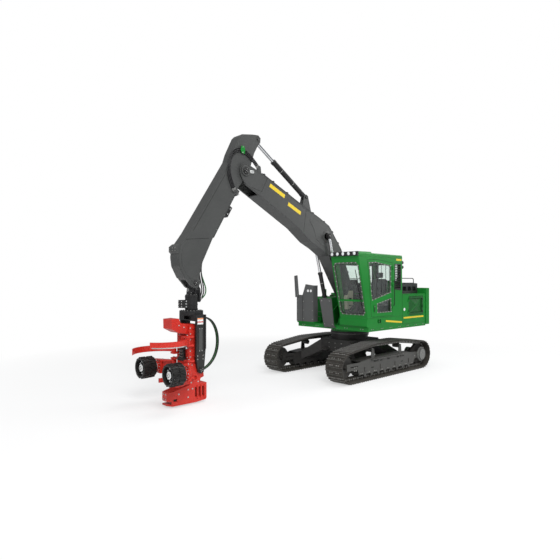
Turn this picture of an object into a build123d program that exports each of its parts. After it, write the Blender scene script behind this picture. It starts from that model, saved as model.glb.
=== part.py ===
"""Tracked forestry harvester: slewing upper, two-piece boom and a hanging harvester head.

Machine frame while modelling, in millimetres: X forward, Y to the operator's left, Z up,
with the slewing axis at X = Y = 0 and the ground at Z = 0.  Every node is written out
shifted along X, so that the exported box is centred over its origin.
"""

import os
from math import atan2, cos, hypot, pi, sin, sqrt, tan

from build123d import *

# ---------------------------------------------------------------- tracks
TRACK_LENGTH = 4814.0       # over the grousers
TRACK_GAUGE = 2610.0        # between the tracks' middle planes
SHOE_WIDTH = 610.0
SHOE_PITCH_AIM = 203.0
SHOE_PLATE = 14.0
GROUSER = 44.0              # tip above the shoe's inner face
GROUSER_OFFSET = 54.0       # of each of the two bars from the shoe's middle
GROUSER_ROOT = 26.0
SHOE_GAP = 8.0
CHAIN_HEIGHT = 95.0
CHAIN_WIDTH = 180.0
END_HEIGHT = 900.0          # over the grousers, at idler and sprocket
CREST_HEIGHT = 1070.0       # over the grousers, at the carrier rollers
CARRIER_X = 740.0
CARRIER_R = 75.0
ROLLER_R = 80.0
ROLLER_COUNT = 9
ROLLER_SPACING = 340.0
WHEEL_GAP = 0.5             # between the chain and the end wheels
WHEEL_WIDTH = 90.0
AXLE_R = 42.0
FRAME_WIDTH = 380.0
FRAME_WALL = 25.0
FRAME_TOP = 620.0
FRAME_BOTTOM = 195.0
GUARD_BOTTOM = 105.0        # tips of the guards between the track rollers
YOKE_BAR = 85.0             # height of each bar of the idler's yoke
YOKE_END = 80.0             # yoke and drive bracket beyond the axles
NOTCH_X = (-720.0, -540.0, 0.0, 540.0, 720.0)
NOTCH = 95.0
STEP_OUT = 45.0             # step rail on the frame's outer wall
DRIVE_HUB_R = 235.0
DRIVE_HUB_OUT = 215.0       # from the track's middle plane to the hub's cover
# ---------------------------------------------------------------- car body
BODY_BOTTOM = 640.0
BODY_TOP = 1040.0
BODY_LENGTH = 1500.0
BODY_WIDTH = 1240.0
BODY_WALL = 60.0
LEG_ROOT = (250.0, 750.0)   # x range where a leg leaves the body
LEG_FOOT = (560.0, 1160.0)  # x range where it meets the track frame
LEG_FOOT_BOTTOM = 330.0
LEG_FOOT_TOP = 600.0
PEDESTAL_R = 600.0
TOW_X = 880.0               # bore of a towing plate
TOW_Y = 330.0
TOW_Z = 690.0
TOW_THICK = 45.0
TOW_R = 34.0
RING_R = 625.0
RING_BORE_R = 480.0
RING_BOTTOM = 1160.0
RING_TOP = 1290.0
SLEW_GAP = 0.3
# ---------------------------------------------------------------- upper frame
DECK_BOTTOM = 1400.0
DECK_TOP = 1530.0
DECK_SHEET = 30.0
DECK_FRONT = 950.0
DECK_REAR = -2350.0
DECK_HALF = 1450.0
CHEEK_INNER = 236.0         # boom bracket plates, inner face
CHEEK_OUTER = 264.0
CHEEK_TOP = 1740.0          # behind the boom foot
BOSS = 25.0                 # collar round a pin, outside its plate
CORE_HALF = 700.0           # half width of the middle box of the deck
# ---------------------------------------------------------------- boom and arm
BOOM_FOOT = (50.0, 2120.0)
BOOM_HEAD = (4680.0, 5800.0)
BOOM_HALF = 225.0
BOOM_WALL = 18.0
BOOM_PIN_R = 55.0
BOOM_FOOT_R = 165.0
LIFT_BASE = (730.0, 1820.0)
LIFT_EYE = (1430.0, 4300.0)
LIFT_Y = 318.0
LIFT_BARREL_R = 66.0
LIFT_ROD_R = 45.0
LIFT_BARREL = 1430.0        # base pin to gland
LIFT_ROD = 1560.0           # eye to the rod's inner end
LIFT_PIN_R = 42.0
ARM_EYE = (4180.0, 6750.0)
ARM_TIP = (6180.0, 2870.0)
ARM_HALF = 175.0
PIPE_R = 15.0
PIPE_Y = (130.0, 175.0)     # the boom's pipes, to either side of its middle plane
PIPE_LIFT = 30.0            # pipe axis above the boom's back
CLAMP_STEP = 520.0
CHANNEL = 70.0              # depth of the hose channel on the arm's back
HOSE_R = 16.0
FERRULE_R = 19.0
PIPE_SIDES = 8
HOSE_Y = 196.0              # hoses beside the arm's left face
HOSE_GAP = 42.0             # between the axes of hoses side by side
HOSE_BEND = 0.45            # share of the shorter run that an arc takes
FERRULE = 55.0
ARM_WALL = 16.0
CROWD_BASE = (2180.0, 5440.0)
CROWD_BARREL_R = 72.0
CROWD_ROD_R = 46.0
CROWD_BARREL = 1560.0
CROWD_ROD = 1500.0
CROWD_PIN_R = 40.0
EYE_HALF = 46.0             # half thickness of a cylinder's eye
EAR = 26.0                  # thickness of the plates beside an eye
EYE_GAP = 0.3
EYE_REACH = 130.0           # from a barrel's base pin to its round part
FIT = 0.5                   # radial clearance of a rod in its gland
SEAT = 0.3                  # between a piece and what carries it
SIDE_GAP = 6.0              # between the faces of parts that swing past each other
PIN_FIT = 0.1               # radial clearance of a pivot pin
# ---------------------------------------------------------------- cab
CAB_INNER = 404.0
CAB_OUTER = 1450.0
CAB_BASE = 1800.0
CAB_ROOF = 3660.0
CAB_REAR = -880.0
CAB_FRONT_LOW = 985.0
CAB_FRONT_HIGH = 1430.0
CAB_WALL = 60.0
GLASS = 12.0
ROOF_THICK = 110.0
SEAM = 0.5                  # between the welded panels of the shell
SLATS = 14
LOUVRE_PROUD = 4.0
LAMP_COUNT = 5
LAMP_R = 46.0
REAR_LAMP_R = 55.0
REAR_LAMP_Y = 1340.0
REAR_LAMP_Z = (3380.0, 3530.0)
LATCH_X = (640.0, 690.0)
LATCH_Z = (1990.0, 2190.0)
DOOR_HINGES = (2050.0, 2750.0, 3280.0)
STEP_SLOTS = (310.0, 420.0)
STEP_SLOT_Z = (1630.0, 1750.0)
DOOR_GAP = 6.0
HINGE_R = 14.0
HINGE_OUT = 16.0            # from the wall's face to the hinge's axis
KNUCKLE = 60.0
LEAF = 60.0
# ---------------------------------------------------------------- bodywork
SIDE_TOP = 2500.0
HOOD_TOP = 2850.0
HOOD_FRONT = -1000.0
HOOD_HALF = 1150.0
HOUSING_INNER = 500.0
LEFT_FRONT = -890.0
RIGHT_FRONT = -760.0
PANEL = 40.0
HOOD_WALL = 30.0
SLOT_COUNT = 4              # air slots in each side of the hood
SLOT_MARGIN = 60.0
SLOT_Z = (2600.0, 2740.0)
RIB_COUNT = 12
STACK = (-1900.0, -700.0)
STACK_R = 62.0
COOLER_X = (-2150.0, -1330.0)
ENGINE_X = (-2150.0, -1400.0)
TANK_FRONT = 430.0
TANK_TOP = 2380.0
TANK_INNER = -480.0
TAIL_TOP = 2690.0
TAIL_REACH = -2930.0
TAIL_HALF = 1480.0
TAIL_BOTTOM = 1440.0
LIFT_LUG = (-2650.0, 2765.0)    # x and z of a lifting eye on the counterweight
LIFT_LUG_Y = 720.0
LIFT_LUG_THICK = 45.0
LIFT_LUG_R = 32.0
BOX_FRONT = 1010.0
BOX_INNER = -690.0
BOX_TOP = 1580.0
HOOP = 130.0                # width of the hand hoop on the step box
HOOP_R = 16.0
HOOP_TOP = 2640.0
GUARD_PLATE = 25.0
GUARD_FOLD_Y = -1180.0
GUARD_RETURN = 190.0        # depth of the guard's return flanges
SHIELD_TOP = 2380.0
SHIELD_FOOT = 205.0
SHIELD_HALF = 244.0
# ---------------------------------------------------------------- head
CROSS_PIN_Z = 2700.0
CROSS_PIN_R = 34.0
TIP_PIN_R = 40.0
ROTATOR_TOP = 2610.0
ROTATOR_BOTTOM = 2200.0
ROTATOR_R = 150.0
TURN_GAP = 0.3
HANGER_TOP = 2170.0
FLANGE_R = 285.0
LEG_INNER = 306.0
LEG_OUTER = 366.0
TILT_PIN = (6140.0, 800.0)
HEAD_HOSE = [
    (5960, 2045), (5800, 2010), (5660, 1900), (5560, 1730), (5510, 1530), (5510, 1320), (5562, 1120), (5662, 950),
    (5800, 830), (5940, 765), (6060, 740),
]
HEAD_HOSE_Y = (108.0, 148.0, 188.0)
TILT_PIN_R = 45.0
TILT_TOP = (5925.0, 1930.0)
TILT_EYE = (5925.0, 620.0)
TILT_BARREL_R = 58.0
TILT_ROD_R = 36.0
TILT_BARREL = 800.0
TILT_ROD = 680.0
FRAME_HALF = 290.0          # half width of the head's frame
SPINE_REAR = 6110.0
SPINE_FRONT = 6400.0
SPINE_LOW = 482.0
GUIDE_RING = (6268.0, 626.0)  # x and z of the boss below the tilt pin
GUIDE_HEIGHT = 105.0
TILT_EAR_PIN = 34.0
TOP_ARM_HALF = 190.0
HEAD_TOP = 1860.0
KNIFE_PIVOT = (6480.0, 300.0)
KNIFE_TIP = (7500.0, 420.0)
KNIFE_BULGE = 360.0
KNIFE_THICK = 55.0
KNIFE_PIN_R = 34.0
KNIFE_HEIGHT = 150.0
KNIFE_Z_LEFT = 1430.0
KNIFE_Z_RIGHT = 1200.0
FEED_PIVOT = (6460.0, 330.0)
FEED_Z = 845.0
FEED_PIN_R = 34.0
ARM_PLATE = 34.0
ROLL_X = (6870.0, 7200.0)
ROLL_Y = 640.0
ROLL_R = 260.0
CLEAT = 24.0                # height of a roller's cleats
CLEATS = 12
DISH = 90.0
SAW_PIVOT = (6760.0, 175.0)
SAW_Z = 110.0
SAW_LENGTH = 790.0
SAW_SLOT = 60.0
SAW_PIN_R = 30.0
GUSSETS = (6010.0, 6110.0, 6210.0)   # ribs on the saw box, with a pocket behind each
BOX_Y = (-60.0, 285.0)
BOX_X = (5930.0, 6930.0)
BOX_Z = (40.0, 470.0)

REACH_FRONT = KNIFE_TIP[0]
CENTRE_X = round((REACH_FRONT + TAIL_REACH) / 2)

NODES = {}


# ---------------------------------------------------------------- helpers
def keep(name, *solids):
    """Fuse the solids given into one node."""
    shape = solids[0]
    for more in solids[1:]:
        shape = shape + more
    NODES[name] = shape


def keep_apart(name, solids):
    """Keep solids that don't touch as one node."""
    parts = []
    for solid in solids:
        parts += solid.solids()
    NODES[name] = Compound(children=parts)


def side(outline, low, high):
    """Plate with the side outline (x, z) between y = low and y = high."""
    face = make_face(Polyline(*outline, close=True))
    return extrude(Plane.XZ.offset(-high) * face, amount=high - low)


def plan(outline, low, high):
    """Plate with the plan outline (x, y) between z = low and z = high."""
    return extrude(Pos(0, 0, low) * make_face(Polyline(*outline, close=True)), amount=high - low)


def front(outline, low, high):
    """Plate with the front outline (y, z) between x = low and x = high."""
    face = make_face(Polyline(*outline, close=True))
    return extrude(Plane.YZ.offset(low) * face, amount=high - low)


def block(xs, ys, zs):
    """Box between pairs of coordinates."""
    size = [high - low for low, high in (xs, ys, zs)]
    middle = [(high + low) / 2 for low, high in (xs, ys, zs)]
    return Pos(*middle) * Box(*size)


def bar(start, end, radius):
    """Round bar from start to end."""
    run = Vector(*end) - Vector(*start)
    return Solid.make_cylinder(radius, run.length, Plane(origin=start, z_dir=run))


def cross_bar(spot, low, high, radius):
    """Round bar along Y through the side-view point spot (x, z)."""
    return bar((spot[0], low, spot[1]), (spot[0], high, spot[1]), radius)


def post(spot, low, high, radius):
    """Round bar along Z through the plan point spot (x, y)."""
    return bar((spot[0], spot[1], low), (spot[0], spot[1], high), radius)


def along(start, end, distance):
    """Point at a distance from start towards end, in the side view."""
    run = hypot(end[0] - start[0], end[1] - start[1])
    share = distance / run
    return (start[0] + (end[0] - start[0]) * share, start[1] + (end[1] - start[1]) * share)


def mirrored(shape):
    return mirror(shape, about=Plane.XZ)


def hinge(spot, levels, turn, face):
    """Fixed and moving halves of a door's hinge; turn is the moving leaf's direction along X."""
    halves = [None, None]
    ys = sorted((spot[1], face))
    for z in levels:
        for index, way in ((0, -turn), (1, turn)):
            low = z + index * (KNUCKLE + SEAT)
            xs = sorted((spot[0], spot[0] + way * LEAF))
            half = post(spot, low, low + KNUCKLE, HINGE_R) + block(xs, ys, (low, low + KNUCKLE))
            halves[index] = half if halves[index] is None else halves[index] + half
    return halves


# ---------------------------------------------------------------- undercarriage
FLAT_R = END_HEIGHT / 2 - GROUSER      # from an axle to the flat of a shoe
END_R = FLAT_R / cos(SHOE_PITCH_AIM / 2 / FLAT_R)   # from an axle to the chain's pins
END_X = TRACK_LENGTH / 2 - END_HEIGHT / 2
AXLE_Z = GROUSER + END_R
CARRIER_BELT_R = CARRIER_R + CHAIN_HEIGHT
CARRIER_Z = CREST_HEIGHT - GROUSER - CARRIER_BELT_R
# wheels that carry the belt, anticlockwise from the sprocket: x, z, belt radius
WHEELS = (
    (-END_X, AXLE_Z, END_R),
    (END_X, AXLE_Z, END_R),
    (CARRIER_X, CARRIER_Z, CARRIER_BELT_R),
    (-CARRIER_X, CARRIER_Z, CARRIER_BELT_R),
)
WHEEL_R = END_R - CHAIN_HEIGHT - WHEEL_GAP
GAUGE_HALF = TRACK_GAUGE / 2


def belt_pieces():
    """Lines and arcs of the belt's inner face: (kind, length, data)."""
    normals = []
    for (x0, z0, r0), (x1, z1, r1) in zip(WHEELS, WHEELS[1:] + WHEELS[:1]):
        run = hypot(x1 - x0, z1 - z0)
        heading = atan2(z1 - z0, x1 - x0)
        normals.append((heading - pi / 2 + atan2((r0 - r1) / run, sqrt(1 - ((r0 - r1) / run) ** 2)), run))
    pieces = []
    for index, (x, z, r) in enumerate(WHEELS):
        before = normals[index - 1][0]
        after, run = normals[index]
        while after < before:
            after += 2 * pi
        pieces.append(("arc", r * (after - before), (x, z, r, before, after)))
        x1, z1, r1 = WHEELS[(index + 1) % len(WHEELS)]
        start = (x + r * cos(after), z + r * sin(after))
        length = sqrt(run**2 - (r - r1) ** 2)
        pieces.append(("line", length, (start, after)))
    return pieces


BELT = belt_pieces()
BELT_LENGTH = sum(length for _, length, _ in BELT)
SHOE_COUNT = round(BELT_LENGTH / SHOE_PITCH_AIM)
PITCH = BELT_LENGTH / SHOE_COUNT


def belt_point(distance, offset=0.0):
    """Point on the belt, moved out by offset."""
    distance %= BELT_LENGTH
    for kind, length, data in BELT:
        if distance <= length:
            break
        distance -= length
    if kind == "arc":
        x, z, r, before, _ = data
        angle = before + distance / r
        x, z = x + r * cos(angle), z + r * sin(angle)
    else:
        (x, z), angle = data
        x, z = x - distance * sin(angle), z + distance * cos(angle)
    return (x + offset * cos(angle), z + offset * sin(angle))


def belt_face(offset):
    """Face inside the belt's line moved out by offset."""
    edges = []
    for kind, length, data in BELT:
        if kind == "arc":
            x, z, r, before, after = data
            r += offset
            spots = [(x + r * cos(a), z + r * sin(a)) for a in (before, (before + after) / 2, after)]
            edges.append(ThreePointArc(*spots))
        else:
            (x, z), angle = data
            x, z = x + offset * cos(angle), z + offset * sin(angle)
            edges.append(Line((x, z), (x - length * sin(angle), z + length * cos(angle))))
    return make_face(edges)


def shoe_outline():
    """Outline of the whole belt of double-grouser shoes, shoe by shoe."""
    half = PITCH / 2 - SHOE_GAP / 2
    # one shoe: step along the belt, height above its inner face
    profile = [(-half, SHOE_PLATE)]
    for middle in (-GROUSER_OFFSET, GROUSER_OFFSET):
        profile += [
            (middle - GROUSER_ROOT / 2, SHOE_PLATE),
            (middle, GROUSER),
            (middle + GROUSER_ROOT / 2, SHOE_PLATE),
        ]
    profile.append((half, SHOE_PLATE))
    spots = []
    for shoe in range(SHOE_COUNT):
        x0, z0 = belt_point(shoe * PITCH)
        x1, z1 = belt_point((shoe + 1) * PITCH)
        heading = atan2(z1 - z0, x1 - x0)
        x, z = (x0 + x1) / 2, (z0 + z1) / 2
        spots.append(belt_point(shoe * PITCH, SHOE_PLATE / 3))
        for step, height in profile:
            right, up = (cos(heading), sin(heading)), (sin(heading), -cos(heading))
            spots.append((x + step * right[0] + height * up[0], z + step * right[1] + height * up[1]))
    return spots


def on_track(shape):
    """The shape, drawn about the track's middle plane, placed on the left track."""
    return Pos(0, GAUGE_HALF, 0) * shape


def make_track():
    outer = make_face(Polyline(*shoe_outline(), close=True))
    shoes = extrude(Plane.XZ.offset(-SHOE_WIDTH / 2) * (outer - belt_face(-SHOE_PLATE)), amount=SHOE_WIDTH)
    links = belt_face(-SHOE_PLATE) - belt_face(-CHAIN_HEIGHT)
    chain = extrude(Plane.XZ.offset(-CHAIN_WIDTH / 2) * links, amount=CHAIN_WIDTH)
    return on_track(shoes + chain)


def make_track_frame():
    """Welded frame: walls under a folded roof, idler yoke, roller guards and carrier brackets."""
    low, top, half = FRAME_BOTTOM, FRAME_TOP, FRAME_WIDTH / 2
    long = ROLLER_SPACING * (ROLLER_COUNT - 1) / 2
    fork = END_X + YOKE_END
    shoulder = AXLE_Z + 120
    wall = [
        (-long - 110, low), (long + 110, low), (long + 170, low + 120), (long + 170, AXLE_Z + 60), (long, shoulder),
        (900, top), (-900, top), (-long, shoulder), (-fork, AXLE_Z + 70), (-fork, AXLE_Z - 70),
        (-long - 190, low + 150),
    ]
    roof = [
        (long, shoulder), (900, top), (-900, top), (-long, shoulder), (-long, shoulder - FRAME_WALL),
        (-900, top - FRAME_WALL), (900, top - FRAME_WALL), (long, shoulder - FRAME_WALL),
    ]
    outer = side(wall, half - FRAME_WALL, half)
    for x in NOTCH_X:
        notch = [(x - NOTCH / 2, top - 75), (x + NOTCH / 2, top - 75), (x, top - 75 - NOTCH * 0.6)]
        outer = outer - side(notch, half - FRAME_WALL - 1, half + 1)
    shape = outer + side(wall, -half, FRAME_WALL - half) + side(roof, -half, half)
    step = block((NOTCH_X[0] - 160, NOTCH_X[-1] + 160), (half - 1, half + STEP_OUT), (top - 60, top - 35))
    shape = shape + step
    for turn in (1, -1):
        inner, outer = sorted((turn * (half - FRAME_WALL), turn * half))
        for z in (AXLE_Z - YOKE_BAR - 15, AXLE_Z + 15):
            shape = shape + block((long + 60, fork), (inner, outer), (z, z + YOKE_BAR))
        shape = shape + block((END_X - YOKE_END, fork), (inner, outer), (AXLE_Z - YOKE_BAR, AXLE_Z + YOKE_BAR))
        for index in range(ROLLER_COUNT - 1):
            x = (index + 0.5) * ROLLER_SPACING - long
            guard = [(x - 60, low + 1), (x + 60, low + 1), (x + 30, GUARD_BOTTOM), (x - 30, GUARD_BOTTOM)]
            shape = shape + side(guard, inner, outer)
    for x in (-CARRIER_X, CARRIER_X):
        bracket = [(x - 90, top - 2), (x + 90, top - 2), (x + 55, CARRIER_Z + 40), (x - 55, CARRIER_Z + 40)]
        shape = shape + side(bracket, half - 60, half - 60 + FRAME_WALL)
    return on_track(shape)


def make_rollers():
    """Track rollers, carrier rollers and idler: each turns on an axle held by the frame."""
    inside = FRAME_WIDTH / 2 - FRAME_WALL
    rollers = []
    for index in range(ROLLER_COUNT):
        x = (index - (ROLLER_COUNT - 1) / 2) * ROLLER_SPACING
        z = GROUSER + CHAIN_HEIGHT + ROLLER_R + SEAT
        rollers.append(cross_bar((x, z), -110, 110, ROLLER_R) + cross_bar((x, z), -inside, inside, AXLE_R))
    for x in (-CARRIER_X, CARRIER_X):
        shaft = cross_bar((x, CARRIER_Z), 0, FRAME_WIDTH / 2 - 60, AXLE_R * 0.8)
        rollers.append(cross_bar((x, CARRIER_Z), -100, 100, CARRIER_R - SEAT) + shaft)
    spot = (END_X, AXLE_Z)
    rim = cross_bar(spot, -WHEEL_WIDTH / 2, WHEEL_WIDTH / 2, WHEEL_R)
    hub = cross_bar(spot, -inside, inside, AXLE_R * 2)
    rollers.append(rim + hub)
    return [on_track(roller) for roller in rollers]


def make_sprocket():
    spot = (-END_X, AXLE_Z)
    wheel = cross_bar(spot, -WHEEL_WIDTH / 2, WHEEL_WIDTH / 2, WHEEL_R)
    inside = FRAME_WIDTH / 2 - FRAME_WALL
    return on_track(wheel + cross_bar(spot, -inside, inside, AXLE_R * 2.5))


def make_drive():
    """Final drive housings outside and inside the frame's walls."""
    spot = (-END_X, AXLE_Z)
    half, rim = FRAME_WIDTH / 2, DRIVE_HUB_OUT + 40
    cover = cross_bar(spot, half, rim - 45, DRIVE_HUB_R) + cross_bar(spot, rim - 46, rim, DRIVE_HUB_R * 0.86)
    motor = cross_bar(spot, -half - 150, -half, DRIVE_HUB_R * 0.8)
    return [on_track(cover), on_track(motor)]


def make_car_body():
    half_x, half_y = BODY_LENGTH / 2, BODY_WIDTH / 2
    shell = block((-half_x, half_x), (-half_y, half_y), (BODY_BOTTOM, BODY_TOP))
    room = block(
        (BODY_WALL - half_x, half_x - BODY_WALL),
        (BODY_WALL - half_y, half_y - BODY_WALL),
        (BODY_BOTTOM - 10, BODY_TOP - BODY_WALL),
    )
    shape = shell - room + post((0, 0), BODY_TOP, RING_BOTTOM, PEDESTAL_R)
    shape = shape - post((0, 0), BODY_BOTTOM, RING_TOP, RING_BORE_R - 80)
    foot_y = GAUGE_HALF - FRAME_WIDTH / 2
    for turn in (1, -1):
        root = Plane((0, half_y - BODY_WALL / 2, 0), x_dir=(1, 0, 0), z_dir=(0, 1, 0))
        foot = root.offset(foot_y - half_y + BODY_WALL / 2)
        # local y of these planes points down, so heights are negated
        low = [(turn * LEG_ROOT[0], -BODY_BOTTOM), (turn * LEG_ROOT[1], -BODY_BOTTOM),
               (turn * LEG_ROOT[1], 20 - BODY_TOP), (turn * LEG_ROOT[0], 20 - BODY_TOP)]
        far = [(turn * LEG_FOOT[0], -LEG_FOOT_BOTTOM), (turn * LEG_FOOT[1], -LEG_FOOT_BOTTOM),
               (turn * LEG_FOOT[1], -LEG_FOOT_TOP), (turn * LEG_FOOT[0], -LEG_FOOT_TOP)]
        leg = loft([root * make_face(Polyline(*low, close=True)), foot * make_face(Polyline(*far, close=True))])
        shape = shape + leg + mirrored(leg)
    return shape


def eye_plate(outline, hole, y, thick, radius):
    """Upright plate across Y with a bored eye."""
    return side(outline, y - thick / 2, y + thick / 2) - cross_bar(hole, y - thick, y + thick, radius)


def make_tow_plates():
    """Level plates with upright bores at the four corners of the car body, for a shackle or hook."""
    half, low, shape = BODY_LENGTH / 2, TOW_Z, None
    for turn in (1, -1):
        for y in (-TOW_Y, TOW_Y):
            outline = [
                (turn * (half - 5), y - 110), (turn * (TOW_X + 40), y - 80), (turn * (TOW_X + 85), y - 40),
                (turn * (TOW_X + 85), y + 40), (turn * (TOW_X + 40), y + 80), (turn * (half - 5), y + 110),
            ]
            plate = plan(outline, low, low + TOW_THICK) - post((turn * TOW_X, y), low - 1, low + TOW_THICK + 1, TOW_R)
            shape = plate if shape is None else shape + plate
    return shape


def make_undercarriage():
    keep("car_body", make_car_body(), make_tow_plates())
    keep("slew_ring", post((0, 0), RING_BOTTOM, RING_TOP, RING_R) - post((0, 0), RING_BOTTOM, RING_TOP, RING_BORE_R))
    makers = (("track", make_track), ("track_frame", make_track_frame), ("sprocket", make_sprocket))
    for name, maker in makers:
        shape = maker()
        keep(f"{name}_left", shape)
        keep(f"{name}_right", mirrored(shape))
    for name, solids in (("rollers", make_rollers()), ("final_drive", make_drive())):
        keep_apart(f"{name}_left", solids)
        keep_apart(f"{name}_right", [mirrored(solid) for solid in solids])


# ---------------------------------------------------------------- upper frame and bodywork
def make_deck():
    """Deck of two plates with a skirt all round, over the turntable that sits on the slew ring."""
    core = block((DECK_REAR, DECK_FRONT - 200), (-CORE_HALF, CORE_HALF), (DECK_BOTTOM, DECK_BOTTOM + DECK_SHEET))
    shape = core + post((0, 0), RING_TOP + SLEW_GAP, DECK_BOTTOM, RING_R - 20)
    shape = shape - post((0, 0), RING_TOP, DECK_BOTTOM + DECK_SHEET, RING_BORE_R - 80)
    shape = shape + block((DECK_REAR, DECK_FRONT), (-DECK_HALF, DECK_HALF), (DECK_TOP - DECK_SHEET, DECK_TOP))
    for y in (-DECK_HALF, DECK_HALF - DECK_SHEET):
        shape = shape + block((DECK_REAR, DECK_FRONT), (y, y + DECK_SHEET), (DECK_BOTTOM, DECK_TOP))
    for x in (DECK_REAR, DECK_FRONT - DECK_SHEET):
        shape = shape + block((x, x + DECK_SHEET), (-DECK_HALF, DECK_HALF), (DECK_BOTTOM, DECK_TOP))
    return shape


def make_boom_mount():
    """The two cheek plates on the deck, with the boom's foot pin and the lift cylinders' base pins."""
    foot_x, foot_z = BOOM_FOOT
    base_x, base_z = LIFT_BASE
    cheek = [
        (DECK_REAR + 15, DECK_TOP), (DECK_FRONT - 30, DECK_TOP), (DECK_FRONT - 30, DECK_TOP + 40),
        (base_x + 90, base_z + 20), (base_x + 50, base_z + 80), (base_x - 60, base_z + 80),
        (foot_x + 190, foot_z + 60), (foot_x + 110, foot_z + 160), (foot_x - 110, foot_z + 160),
        (foot_x - 230, foot_z + 20), (-700, CHEEK_TOP), (DECK_REAR + 15, CHEEK_TOP),
    ]
    plate = side(cheek, CHEEK_INNER, CHEEK_OUTER)
    outer = LIFT_Y + EYE_HALF + EYE_GAP
    ear = [
        (base_x - 190, DECK_TOP), (base_x + 190, DECK_TOP), (base_x + 90, base_z + 20),
        (base_x + 50, base_z + 80), (base_x - 50, base_z + 80), (base_x - 90, base_z + 20),
    ]
    plate = plate + side(ear, outer, outer + EAR) + cross_bar(LIFT_BASE, CHEEK_INNER, outer + EAR, LIFT_PIN_R)
    plate = plate + cross_bar(BOOM_FOOT, CHEEK_INNER, CHEEK_OUTER + BOSS, BOOM_PIN_R + BOSS)
    shape = plate + mirrored(plate)
    return shape + cross_bar(BOOM_FOOT, -CHEEK_OUTER, CHEEK_OUTER, BOOM_PIN_R)


def shell_box(xs, ys, zs, wall, floor=False):
    """Sheet housing, open below unless it has a floor."""
    low = zs[0] + wall if floor else zs[0] - 1
    room = block((xs[0] + wall, xs[1] - wall), (ys[0] + wall, ys[1] - wall), (low, zs[1] - wall))
    return block(xs, ys, zs) - room


LEFT_DOOR = ((-2200.0, -1280.0), (1790.0, 2430.0))   # x range, z range
RIGHT_DOOR = ((-2200.0, -1180.0), (1640.0, 2430.0))
HANDLE = 45.0
DOOR_RIM = 65.0


def door_hinge(side_y, opening, inward):
    """Hinge at the front edge of a service door."""
    (x0, x1), (z0, z1) = opening
    return hinge((x1 + 2, side_y - inward * HINGE_OUT), (z0 + 60, z1 - 180), -1, side_y)


def make_service_door(side_y, opening, inward):
    """Door in a housing wall with a creased mesh panel; inward points to the machine's middle."""
    (x0, x1), (z0, z1) = opening
    gap = DOOR_GAP
    ys = sorted((side_y, side_y + inward * PANEL))
    inner_xs, inner_zs = (x0 + DOOR_RIM, x1 - DOOR_RIM), (z0 + DOOR_RIM, z1 - DOOR_RIM)
    rim = block((x0 + gap, x1 - gap), ys, (z0 + gap, z1 - gap)) - block(inner_xs, (ys[0] - 1, ys[1] + 1), inner_zs)
    middle = ((x0 + x1) / 2, (z0 + z1) / 2)
    low = Plane((middle[0], side_y + inward * PANEL, middle[1]), x_dir=(1, 0, 0), z_dir=(0, -inward, 0))
    wide, high = inner_xs[1] - inner_xs[0] + 2, inner_zs[1] - inner_zs[0] + 2
    peak = low.offset(PANEL - 2)
    crease = loft([low * make_face(Rectangle(wide, high).wire()), peak * make_face(Rectangle(30, 30).wire())])
    grip_y = sorted((side_y + inward, side_y - inward * HANDLE * 0.5))
    rim = rim + block((x0 + 12, x0 + 12 + HANDLE), grip_y, (z0 + 250, z0 + 250 + HANDLE * 2))
    return rim + crease + door_hinge(side_y, opening, inward)[1]


def make_hood():
    """Hood over the engine: side walls with air slots, a louvred top and the exhaust stack."""
    rear, front_x = DECK_REAR + 10, HOOD_FRONT
    hood = shell_box((rear, front_x), (-HOOD_HALF, HOOD_HALF), (SIDE_TOP, HOOD_TOP), HOOD_WALL)
    pitch = (front_x - rear - 2 * SLOT_MARGIN) / SLOT_COUNT
    for index in range(SLOT_COUNT):
        low = rear + SLOT_MARGIN + index * pitch
        hood = hood - block((low + 35, low + pitch - 35), (-HOOD_HALF - 1, HOOD_HALF + 1), SLOT_Z)
    for index in range(RIB_COUNT):
        x = rear + 90 + index * (front_x - rear - 180) / (RIB_COUNT - 1)
        hood = hood + block((x - 14, x + 14), (80, HOOD_HALF - 120), (HOOD_TOP - 1, HOOD_TOP + 22))
    lip = block((front_x - 1, front_x + 30), (-HOOD_HALF, HOOD_HALF), (HOOD_TOP - 60, HOOD_TOP + 15))
    stack = post(STACK, HOOD_TOP - 1, HOOD_TOP + 120, STACK_R + 22) + post(STACK, HOOD_TOP, HOOD_TOP + 300, STACK_R)
    mouth = post(STACK, HOOD_TOP + 200, HOOD_TOP + 301, STACK_R - 8)
    return hood + lip + stack - mouth


def make_counterweight():
    """Cast counterweight: rounded in plan by flats, chamfered at foot and top, with two lifting eyes."""
    rear, half = TAIL_REACH, TAIL_HALF
    tail = [
        (DECK_REAR, half), (-2560, half), (rear + 90, 1050), (rear, 500), (rear, -500),
        (rear + 90, -1050), (-2560, -half), (DECK_REAR, -half),
    ]
    profile = [
        (DECK_REAR, TAIL_BOTTOM), (rear + 260, TAIL_BOTTOM), (rear, TAIL_BOTTOM + 230), (rear, TAIL_TOP - 140),
        (rear + 90, TAIL_TOP), (DECK_REAR, TAIL_TOP),
    ]
    x, z = LIFT_LUG
    lug = [
        (x - 90, TAIL_TOP - 5), (x + 90, TAIL_TOP - 5), (x + 60, z + 30), (x + 30, z + 60), (x - 30, z + 60),
        (x - 60, z + 30),
    ]
    shape = plan(tail, TAIL_BOTTOM, TAIL_TOP) & side(profile, -half, half)
    for y in (-LIFT_LUG_Y, LIFT_LUG_Y):
        shape = shape + eye_plate(lug, LIFT_LUG, y, LIFT_LUG_THICK, LIFT_LUG_R)
    return shape


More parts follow.
